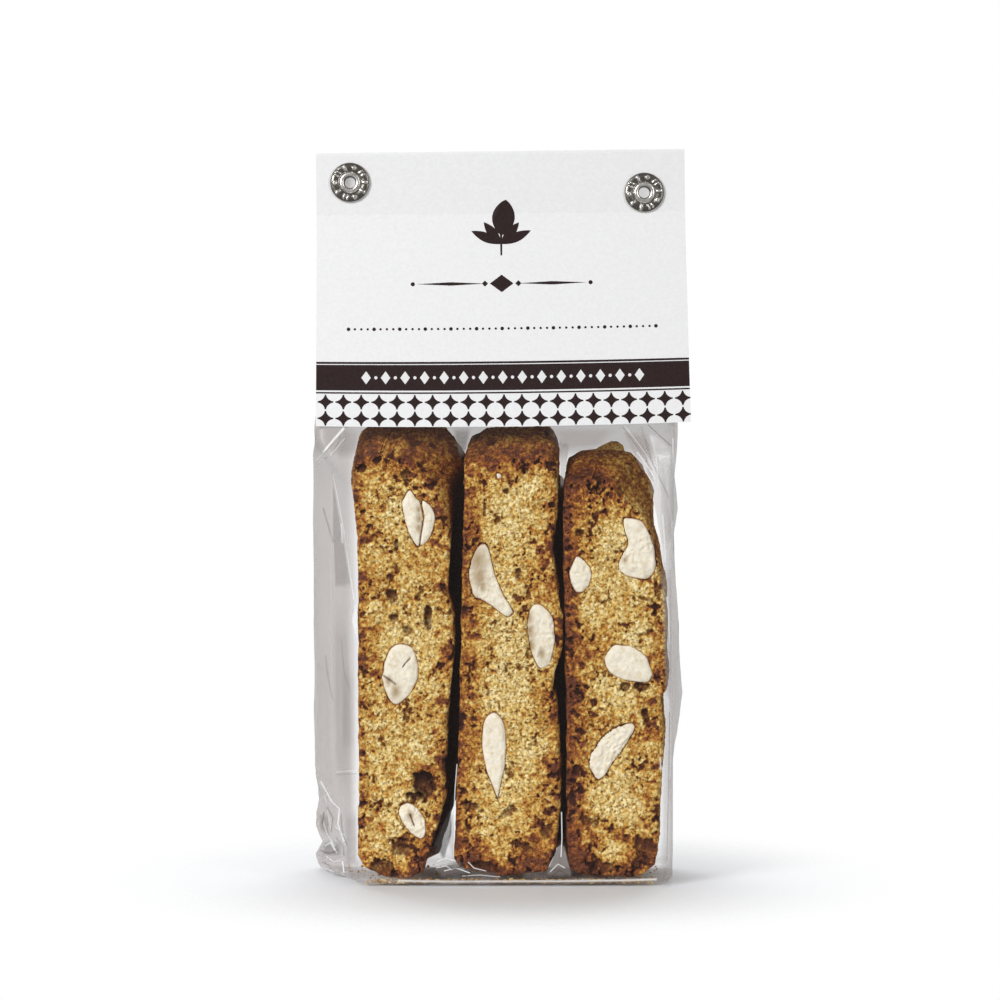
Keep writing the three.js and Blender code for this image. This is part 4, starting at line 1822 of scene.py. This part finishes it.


# Painted highlights and painted shade of the film's folds, laid on the film.
@dataclass
class PaintedFoldLight:
    """Folds and facets of the film, laid on it as the photograph's camera sees them."""

    lift: float = 0.18
    lift_step: float = 0.006
    along: int = 18
    across: int = 11
    marks: tuple[Facet | Glint, ...] = (
        Facet(((332.4, 478), (352, 588), (335, 588), (333, 530)), 0.4, -0.25, 0.08),
        Facet(((450, 426), (474, 426), (464, 458), (459, 458)), 0.62, -0.7),
        Facet(((543, 427), (624, 427), (604, 447), (558, 451)), 0.42, -0.15),
        Facet(((313, 428), (341, 428), (330, 446), (313, 462)), 0.3, -0.3),
        Facet(((638, 429), (662, 440), (673, 540), (664, 556)), 0.36, 0.05, 0.1),
        Facet(((662, 440), (674, 440), (674, 600), (668, 600)), 0.3, 0.1, 0.1),
        Facet(((559, 438), (570, 444), (563, 488), (560.5, 488)), 0.5, -0.2, 0.1),
        Facet(((622, 430), (640, 434), (656, 486), (640, 468)), 0.4, -0.05, 0.1),
        Facet(((660, 566), (672, 566), (672, 700), (666, 700)), 0.3, 0.1, 0.1),
        Facet(((668, 540), (678, 540), (681, 700), (670, 700)), 0.3, 0.7),
        Facet(((341, 660), (356, 660), (356, 760), (341, 760)), 0.22, -0.3),
        Facet(((316, 640), (330, 640), (332, 768), (317, 768)), 0.18, 0.3),
        Facet(((464, 866), (500, 872), (500, 880), (466, 880)), 0.4, -0.6),
        Facet(((520, 872), (552, 870), (552, 880), (520, 880)), 0.34, -0.4),
        Facet(((333, 600), (350, 604), (356, 860), (333, 770)), 0.24, -0.1),
        Facet(((350, 620), (357, 595), (358, 625), (357, 646)), 0.7, 1.0),
        Facet(((343, 428), (360, 428), (356, 462), (332, 459)), 0.34, -0.15),
        Facet(((316, 774), (356, 774), (352, 806), (320, 800)), 0.3, 0.1),
        Facet(((344, 812), (358, 806), (358, 868), (346, 872)), 0.34, -0.3),
        Facet(((318, 812), (330, 814), (330, 838), (319, 832)), 0.42, -0.5),
        Facet(((323, 840), (343, 842), (342, 857), (320, 856)), 0.5, -0.5),
        Facet(((319, 860), (340, 846), (345, 868), (327, 873)), 0.42, -0.25),
        Facet(((647, 430), (656, 436), (672, 447), (654, 464)), 0.6, 0.9),
        Facet(((652, 452), (672, 447), (671.5, 467), (660, 466)), 0.7, 1.0),
        Facet(((626, 428), (646, 428), (656, 470), (644, 456)), 0.34, 0.05),
        Facet(((454, 800), (455, 830), (454, 862), (446, 846)), 0.6, 0.2),
        Facet(((430, 868), (462, 858), (470, 876), (440, 879)), 0.78, -0.7),
        Facet(((543, 878), (559, 843), (564, 843), (574, 878)), 0.85, -0.6, 0.12),
        Facet(((432, 846), (453, 802), (452, 834), (444, 862)), 0.7, -1.0, 0.14),
        Facet(((664, 520), (675, 520), (674, 700), (665, 700)), 0.4, 0.45, 0.1),
        Facet(((652, 430), (674, 432), (674, 520), (664, 540)), 0.3, 0.5, 0.1),
        Glint(((662.5, 514), (664.5, 540), (665.5, 562)), 3.4, 0.85, 1.0, 2.4),
        Glint(((667, 597), (668.5, 610), (669.5, 645)), 3.6, 0.8, 0.95, 1.8),
        Glint(((667.5, 696), (668.5, 709)), 4.0, 0.75, 0.95),
        Glint(((660, 757), (661, 770)), 2.6, 0.7, 0.95),
        Glint(((344, 428), (330, 444), (316, 461)), 4.4, 0.9, 1.0, 2.4),
        Glint(((313.5, 466), (324, 459), (333, 454), (341, 436)), 1.6, 0.5, -0.6),
        Glint(((318, 463), (330, 456), (345, 438)), 1.4, 0.5),
        Glint(((333, 474), (343, 525), (354, 600)), 1.6, 0.75),
        Glint(((341.5, 524), (342.5, 543)), 3.8, 0.7),
        Glint(((313.5, 476), (323, 508), (333, 542)), 2.6, 0.4, -0.4),
        Glint(((332, 455), (331, 580), (332, 700)), 1.4, 0.4, 0.7),
        Glint(((325, 655), (330, 690), (333, 700)), 2.2, 0.3, -0.2),
        Glint(((341, 640), (344, 672), (350, 690)), 1.6, 0.35, -0.3),
        Glint(((315, 771), (336, 772), (357, 770.5)), 1.8, 0.6, 0.9),
        Glint(((315, 774), (336, 775), (357, 773.5)), 1.4, 0.35, -0.4),
        Glint(((320.5, 781), (331.5, 801), (340, 809.5)), 3.6, 0.88, 1.0, 1.6),
        Glint(((325, 794), (328, 812), (330.5, 829)), 2.2, 0.55, 0.8),
        Glint(((339.5, 809), (338, 824), (344, 842)), 2.8, 0.85),
        Glint(((323, 820), (327, 834), (335, 846)), 1.6, 0.6),
        Glint(((331, 842), (334, 848), (337, 853)), 4.2, 0.85, 1.0, 2.0),
        Glint(((325, 846), (331, 842)), 1.8, 0.8),
        Glint(((326, 856), (334, 862), (341, 860)), 1.6, 0.7, 0.9),
        Glint(((322, 862), (330, 866)), 1.6, 0.6, -0.8),
        Glint(((336, 838), (343, 846), (344, 856)), 1.4, 0.6, -0.9),
        Glint(((342.5, 861), (344, 873)), 2.2, 0.9),
        Glint(((457, 764), (455, 790), (454, 812)), 1.6, 0.75),
        Glint(((436, 862), (446, 858), (455, 861)), 1.8, 0.7),
        Glint(((444, 871), (456, 868), (470, 873)), 1.8, 0.75),
        Glint(((462, 876), (480, 875), (500, 877)), 1.6, 0.6, 0.8),
        Glint(((550, 872), (558, 864), (565, 868)), 1.8, 0.75),
        Glint(((561.5, 812), (562, 838), (561, 857)), 1.7, 0.85),
        Glint(((622, 426), (638, 448), (652, 470)), 1.6, 0.5, -0.5),
        Glint(((625, 426), (641, 447), (655, 468)), 1.3, 0.5),
        Glint(((641, 426), (652, 462), (669, 498)), 2.2, 0.4, -0.4),
        Glint(((648, 424.5), (660, 436), (671.4, 446)), 1.3, 0.7, -0.8),
        Glint(((656, 455), (658, 476), (661, 500)), 1.3, 0.55),
        Glint(((673, 438), (673.2, 480), (673.6, 524)), 1.8, 0.9),
        Glint(((637, 452), (646, 464), (655, 478)), 1.8, 0.7),
        Glint(((671, 560), (672, 630), (671.5, 700)), 1.3, 0.5),
        Glint(((669.5, 712), (669, 760), (667, 860)), 1.6, 0.5, -0.25),
        Glint((
            (342, 878.4), (398, 880.8), (449, 881.6), (560, 881.2), (620, 880.4), (657, 879.4),
        ), 3.6, 0.72, 0.95),
        Glint(((346, 881.6), (398, 884), (449, 884.9), (560, 884.7), (656, 883)), 1.0, 0.6, -0.4),
        Glint(((468, 862), (474, 868), (486, 871)), 1.6, 0.8, 0.9),
        Glint(((440, 866), (450, 869), (462, 867)), 1.4, 0.75, -0.9),
        Glint(((446, 875), (458, 873), (468, 876)), 1.4, 0.7, -0.9),
        Glint(((436, 868), (446, 866), (452, 870)), 1.2, 0.8, 1.0),
        Glint(((552, 876), (560, 870), (567, 875)), 1.4, 0.7, -0.9),
        Glint(((318, 800), (324, 812), (322, 824)), 1.6, 0.7, -0.8),
        Glint(((326, 806), (333, 818), (331, 832)), 1.4, 0.7, -0.8),
        Glint(((341, 815), (342, 830), (347, 845)), 1.4, 0.6, -0.7),
        Glint(((320, 850), (329, 854), (338, 850)), 1.4, 0.7, -0.9),
        Glint(((326, 868), (334, 872), (344, 876)), 1.6, 0.7, 0.9),
        Glint(((335, 826), (341, 832), (345, 836)), 1.2, 0.75, 1.0),
    )

    # Painted highlights on the back of the film.
    back_marks: tuple[Facet | Glint, ...] = (
        Facet(((380, 470), (420, 520), (400, 640), (384, 560)), 0.16, 0.6),
        Facet(((520, 600), (548, 650), (530, 800), (512, 700)), 0.14, 0.5),
        Glint(((640, 462), (600, 520), (590, 640)), 2.0, 0.5),
        Glint(((470, 450), (486, 560), (480, 700)), 1.8, 0.5),
        Glint(((380, 780), (430, 800), (520, 792)), 1.8, 0.5),
        Glint(((560, 840), (620, 826), (650, 800)), 2.0, 0.55),
    )

    @staticmethod
    def _place(tree: BVHTree, pixel: np.ndarray, side: float, lift: float) -> np.ndarray | None:
        """The spot on the film that a pixel shows.

        Args:
            tree: The film.
            pixel: The pixel.
            side: -1 from the front and 1 from behind.
            lift: How far outside the film the spot lies.

        Returns:
            The spot, or None where the pixel misses the film.
        """
        x, z = PHOTO.on_plane(float(pixel[0]), float(pixel[1]), 0.0)
        eye = Vector((PHOTO.place[0], PHOTO.place[1] * -side, PHOTO.place[2]))
        run = (Vector((x, 0.0, z)) - eye).normalized()
        spot = tree.ray_cast(eye, run)[0]
        return None if spot is None else np.array(spot - run * lift)

    def build(self, points: Points, corners: np.ndarray, material: Material) -> Piece:
        """Makes the painted light and shade of the folds.

        Args:
            points: The film's corners.
            corners: The film's faces.
            material: The film's finish.

        Returns:
            The new piece.
        """
        tree = BVHTree.FromPolygons(points.tolist(), corners.tolist())
        everything, faces, hazes, streaks = [], [], [], []
        total = 0
        patches = [(patch, -1.0) for mark in self.marks for patch in mark.patches()]
        patches += [(patch, 1.0) for mark in self.back_marks for patch in mark.patches()]
        for number, ((outline, haze, painted_light, fade), side) in enumerate(patches):
            a, b, c, d = (np.array(corner, float) for corner in outline)
            u, v = np.meshgrid(np.linspace(0, 1, self.along), np.linspace(0, 1, self.across), indexing="ij")
            weights = ((1 - u) * (1 - v), u * (1 - v), u * v, (1 - u) * v)
            pixels = sum(w.ravel()[:, None] * corner[None, :] for w, corner in zip(weights, (a, b, c, d)))
            lift = self.lift + self.lift_step * number
            spots = [self._place(tree, pixel, side, lift) for pixel in pixels]
            if any(spot is None for spot in spots):
                LOG.info("a fold near %s leaves the film", outline[0])
                continue
            everything.append(np.array(spots))
            faces.append(grid_faces(self.along, self.across, total))
            edge = np.minimum(v, 1.0 - v).ravel()
            if fade:
                ends = np.minimum(u, 1.0 - u).ravel()
                cover = rise(edge, 0.0, fade) * rise(ends, 0.0, fade)
            else:
                cover = rise(edge, 0.0, 0.45)
            hazes.append(haze * cover)
            streaks.append(np.full(len(edge), painted_light))
            total += len(spots)
        values = {"haze": np.concatenate(hazes), "painted_light": np.concatenate(streaks)}
        spots = np.concatenate(everything)
        return make_piece("film_painted_fold_light", spots, np.concatenate(faces), material, "film", values)


@dataclass
class BagFilm:
    """The clear film: a block-bottom bag drawn in to a flat neck under the card."""

    half_depth: float = 20.0
    content_top: float = 111.0
    neck_bottom: float = 120.0
    top: float = 188.0
    front_left: float = 39.2
    front_right: float = 45.4
    neck_left: float = 47.4
    neck_right: float = 46.6
    squareness: float = 20.0
    neck_squareness: float = 3.0
    base_radius: float = 2.4
    corner_setback: float = 7.0
    corner_start: float = 0.93
    flattens: tuple[float, float] = (103.0, 124.0)
    left_outline: Outline = (
        (0, 47.6), (4.3, 49.3), (7.7, 47.2), (12.5, 49.4), (19.8, 48.3), (28.6, 49.7), (112, 49.9),
        (126, 47.4),
    )
    right_outline: Outline = (
        (26.2, 45.6), (47.8, 49.2), (91.4, 46.5), (97.4, 47.8), (108.2, 46.6),
    )
    slice_gaps: tuple[float, ...] = (-11.2, 15.9)
    gap_dip: float = 0.45
    gap_spread: float = 1.5
    face_steps: int = 100
    side_steps: int = 90
    levels: int = 200
    base_rings: int = 14
    seed: int = 5

    def _half_depth(self, z: float, card: HeaderCard) -> float:
        """Half the bag's depth: full round the slices, then as the card leaves room.

        Args:
            z: The height.
            card: The card that closes the bag.

        Returns:
            Half the depth there.
        """
        def in_card(height: float) -> float:
            """Half the room between the card's panels at a height."""
            return float(card.face(np.array([height - card.centre[2]]))[0]) - card.thickness - 0.4
        if z >= self.neck_bottom:
            return in_card(z)
        if z <= self.content_top:
            return self.half_depth
        share = (z - self.content_top) / (self.neck_bottom - self.content_top)
        return self.half_depth + (in_card(self.neck_bottom) - self.half_depth) * share

    def _border(self) -> np.ndarray:
        """Goes round a square of half side 1.

        Returns:
            Points on it, from its front left corner.
        """
        face = np.linspace(-1.0, 1.0, self.face_steps, endpoint=False)
        side = np.linspace(-1.0, 1.0, self.side_steps, endpoint=False)
        return np.concatenate([
            np.stack([face, -np.ones_like(face)], 1), np.stack([np.ones_like(side), side], 1),
            np.stack([-face, np.ones_like(face)], 1), np.stack([-np.ones_like(side), -side], 1),
        ])

    def _ring(self, z: float, border: np.ndarray, card: HeaderCard) -> np.ndarray:
        """One level of the bag, without its folds.

        Args:
            z: Its height.
            border: Points round a square of half side 1.
            card: The card that closes the bag.

        Returns:
            The level's points.
        """
        flat = rise(z, *self.flattens)
        upper = rise(z, self.neck_bottom, self.top)
        power = self.squareness + (self.neck_squareness - self.squareness) * upper
        below = max(0.0, self.base_radius - z)
        inset = self.base_radius - math.sqrt(self.base_radius ** 2 - below ** 2)
        setback = self.corner_setback * fall(z, 0.0, 22.0)
        depth = self._half_depth(z, card) - inset
        scale = (np.abs(border[:, 0]) ** power + np.abs(border[:, 1]) ** power) ** (-1.0 / power)
        across, deep = border[:, 0] * scale, border[:, 1] * scale
        flare = rise(deep, -1.05, 0.5) * (1.0 - flat) + flat
        left_loose = np.interp(z, *zip(*self.left_outline))
        right_loose = np.interp(z, *zip(*self.right_outline))
        left_front = self.front_left + (self.neck_left - self.front_left) * flat
        right_front = self.front_right + (self.neck_right - self.front_right) * flat
        left = left_front + (left_loose - left_front) * flare
        right = right_front + (right_loose - right_front) * flare
        x = across * (np.where(across < 0.0, left, right) - inset)
        corner = rise(-across, self.corner_start, 1.0) ** 2 * fall(deep, -1.0, 0.4)
        fade = rise(z, 2.0, 10.0) * fall(z, 102.0, 114.0)
        dips = np.max([np.exp(-(((x - gap) / self.gap_spread) ** 2)) for gap in self.slice_gaps], axis=0)
        y = deep * (depth - self.gap_dip * fade * dips * np.abs(deep) ** 6) + setback * corner
        return np.stack([x, y, np.full_like(x, z)], axis=1)

    def build(self, card: HeaderCard) -> list[Piece]:
        """Makes the film as one thin skin, and the painted light and shade of its folds.

        Args:
            card: The card that closes the bag.

        Returns:
            The new pieces.
        """
        border = self._border()
        count = len(border)
        heights = np.linspace(0.0, 1.0, self.levels) ** 1.12 * self.top
        rings = np.stack([self._ring(float(z), border, card) for z in heights])
        points = rings.reshape(-1, 3)
        grain = Grain(self.seed)
        middle = np.stack([points[:, 0] * 0.9, points[:, 1] * 0.4, points[:, 2]], axis=1)
        outward = points - middle
        outward[:, 2] = 0.0
        outward /= np.maximum(np.linalg.norm(outward, axis=1), 1e-6)[:, None]
        loose = rise(-points[:, 0], 37.5, 42.0) + rise(points[:, 0], 43.0, 46.0)
        loose = np.clip(loose, 0.0, 1.0)
        crumple = grain.layered(points + 11.0, 9.0, 3)
        low_left = fall(points[:, 2], 22.0, 34.0) * rise(-points[:, 0], 36.0, 42.0)
        shift = 0.5 * crumple * loose + 0.9 * grain.layered(points + 50.0, 3.6, 2) * low_left
        points = points + outward * shift[:, None]
        base_points = [rings[0] * (1.0 - share) for share in np.linspace(0.0, 0.97, self.base_rings)[1:]]
        faces = [grid_faces(self.levels, count, closed=True)]
        first_base = len(points)
        points = np.concatenate([points] + base_points)
        start = np.arange(count)
        faces.append(join_rings(start, first_base + start))
        faces.append(grid_faces(self.base_rings - 1, count, first_base, closed=True)[:, ::-1])
        corners = np.concatenate(faces)
        material = FilmFinish().material()
        film = make_piece("bag_film", points, corners, material, "film", self._cloud(points, grain))
        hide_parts("bag")
        folds = PaintedFoldLight().build(points, corners, material)
        return [film, folds]

    @staticmethod
    def _cloud(points: Points, grain: Grain) -> dict[str, np.ndarray]:
        """How much of the film shows at its points, and how white its painted highlights make it there.

        Args:
            points: The film's points.
            grain: Noise that breaks up its haze.

        Returns:
            The numbers that the finish reads.
        """
        x, y, z = points.T
        sides = np.clip(rise(-x, 37.0, 40.5) + rise(x, 43.0, 45.5), 0.0, 1.0)
        cloud = grain.layered(points * np.array([1.0, 1.0, 0.3]) + 80.0, 6.0, 2)
        haze = 0.03 + (0.36 + 0.05 * cloud) * sides
        # Behind the slices' tops near the neck the film shows more: its layers, and painted shade under the
        # card.
        neck = rise(z, 108.0, 114.0) * (0.05 + 0.5 * rise(y, -2.0, 3.0))
        haze = np.maximum(haze, neck)
        # At the foot, crumpled film with painted highlights.
        foot = fall(z, 0.8, 3.2)
        crumpled = grain.layered(points * np.array([1.0, 1.4, 2.4]) + 140.0, 4.0, 3)
        haze = np.clip(haze + foot * (0.1 + 0.3 * np.abs(crumpled)), 0.0, 0.9)
        painted_light = foot * (0.3 + rise(np.abs(crumpled), 0.18, 0.4) * 0.6)
        return {"haze": haze, "painted_light": painted_light}


GOLDEN = (1.0 + math.sqrt(5.0)) / 2.0
LUMP_CORNERS = np.array([
    (-1, GOLDEN, 0), (1, GOLDEN, 0), (-1, -GOLDEN, 0), (1, -GOLDEN, 0), (0, -1, GOLDEN), (0, 1, GOLDEN),
    (0, -1, -GOLDEN), (0, 1, -GOLDEN), (GOLDEN, 0, -1), (GOLDEN, 0, 1), (-GOLDEN, 0, -1), (-GOLDEN, 0, 1),
]) / 1.9
LUMP_SIDES = np.array([
    (0, 11, 5), (0, 5, 1), (0, 1, 7), (0, 7, 10), (0, 10, 11), (1, 5, 9), (5, 11, 4), (11, 10, 2),
    (10, 7, 6), (7, 1, 8), (3, 9, 4), (3, 4, 2), (3, 2, 6), (3, 6, 8), (3, 8, 9), (4, 9, 5), (2, 4, 11),
    (6, 2, 10), (8, 6, 7), (9, 8, 1),
])


@dataclass
class LooseCrumbs:
    """Crumbs on the bottom of the bag, as lumps with twenty sides."""

    count: int = 1500
    front_count: int = 850
    seed: int = 8
    half_depth: float = 17.6
    reach_y: tuple[float, ...] = (-9.0, -3.0, 6.0)
    reach_left: tuple[float, ...] = (-34.5, -38.0, -41.0)
    reach_right: tuple[float, ...] = (40.4, 42.0, 42.5)

    def build(self, material: Material) -> Piece:
        """Makes the crumbs as small lumps.

        Args:
            material: The crumb's finish.

        Returns:
            The new piece.
        """
        draw = np.random.default_rng(self.seed)
        each = len(LUMP_CORNERS)
        points, faces, bakes = [], [], []
        for number in range(self.count):
            size = 0.14 + 0.4 * draw.random() ** 3
            in_front = number < self.front_count
            y = draw.uniform(-18.9, -17.7) if in_front else -self.half_depth + 36.0 * draw.random() ** 1.6
            reach = (np.interp(y, self.reach_y, ends) for ends in (self.reach_left, self.reach_right))
            x = draw.uniform(*reach)
            heap = draw.uniform(0.0, 1.0) if in_front else 0.0
            shape = LUMP_CORNERS * size * draw.uniform(0.6, 1.2, (each, 1)) * np.array([1.0, 1.0, 0.75])
            points.append(shape + np.array([x, y, 0.35 + size * 0.6 + heap]))
            faces.append(LUMP_SIDES + each * number)
            bakes.append(np.full(each, draw.uniform(0.1, 0.65)))
        total = each * self.count
        values = {"bake": np.concatenate(bakes), "pit": np.zeros(total), "hollow": np.zeros(total)}
        everything, corners = np.concatenate(points), np.concatenate(faces)
        return make_piece("loose_crumbs", everything, corners, material, "crumb", values, smooth=False)


@dataclass(frozen=True)
class Lamp:
    """A soft light, by its place, its aim and its size in millimetres and its power in watts."""

    name: str
    place: Rgb
    aim: Rgb
    size: tuple[float, float]
    power: float

    def build(self) -> None:
        """Makes the light."""
        data = bpy.data.lights.new(self.name, "AREA")
        data.shape = "RECTANGLE"
        data.size, data.size_y = (length * MM for length in self.size)
        data.energy = self.power
        lamp = bpy.data.objects.new(self.name, data)
        lamp.location = Vector(self.place) * MM
        lamp.rotation_euler = (Vector(self.aim) - Vector(self.place)).to_track_quat("-Z", "Y").to_euler()
        bpy.context.scene.collection.objects.link(lamp)


@dataclass
class Studio:
    """White floor, white surroundings and soft lights."""

    floor_half: float = 3000.0
    floor_drop: float = 0.2
    ambient: float = 0.31
    white: tuple[float, float, float, float] = (1.0, 1.0, 1.0, 1.0)
    lamps: tuple[Lamp, ...] = (
        Lamp("key_light", (-700, -820, 520), (0, 0, 90), (380, 600), 9.5),
        Lamp("fill_light", (760, -800, 380), (0, 0, 90), (300, 700), 2.7),
        Lamp("top_light", (-40, 420, 860), (0, 0, 20), (700, 420), 5.4),
    )

    def _surround(self) -> None:
        """Gives the world a white that lights softly and shows as plain white."""
        world = bpy.data.worlds.new("white_surround")
        world.use_nodes = True
        nodes, links = world.node_tree.nodes, world.node_tree.links
        nodes.clear()
        path = nodes.new("ShaderNodeLightPath")
        mix = nodes.new("ShaderNodeMixShader")
        links.new(path.outputs["Is Camera Ray"], mix.inputs[0])
        for socket, strength in ((mix.inputs[1], self.ambient), (mix.inputs[2], 1.0)):
            light = nodes.new("ShaderNodeBackground")
            light.inputs["Strength"].default_value = strength
            light.inputs["Color"].default_value = self.white
            links.new(light.outputs[0], socket)
        output = nodes.new("ShaderNodeOutputWorld")
        links.new(mix.outputs[0], output.inputs["Surface"])
        bpy.context.scene.world = world

    def build(self) -> None:
        """Makes the floor, the surroundings and the lights."""
        half = self.floor_half * MM
        mesh = bpy.data.meshes.new("floor")
        corners = [(-half, -half, 0), (half, -half, 0), (half, half, 0), (-half, half, 0)]
        mesh.from_pydata(corners, [], [(0, 1, 2, 3)])
        mesh.materials.append(FloorFinish().material())
        floor = bpy.data.objects.new("floor", mesh)
        floor.location.z = -self.floor_drop * MM
        bpy.context.scene.collection.objects.link(floor)
        self._surround()
        for lamp in self.lamps:
            lamp.build()
        bpy.context.scene.view_settings.view_transform = "Standard"


def main() -> None:
    """Builds the pack piece by piece and reports each one."""
    PHOTO.build()
    Studio().build()
    card = HeaderCard()
    pieces = Biscotti().build()
    pieces.append(LooseCrumbs().build(bpy.data.materials["baked_crumb"]))
    pieces.append(card.build())
    pieces += CardPrint(card).build()
    nickel = NickelFinish().material()
    for name, (x, z), turn in zip(("rivet_left", "rivet_right"), card.holes, (0.3, 2.1)):
        pieces.append(HollowRivet(f"{name}_turned", name, x, z, turn).build(card, nickel))
    pieces += BagFilm().build(card)
    for piece in pieces:
        LOG.info("%s: %d faces", piece.name, len(piece.data.polygons))


if __name__ == "__main__":
    logging.basicConfig(level=logging.INFO)
    main()
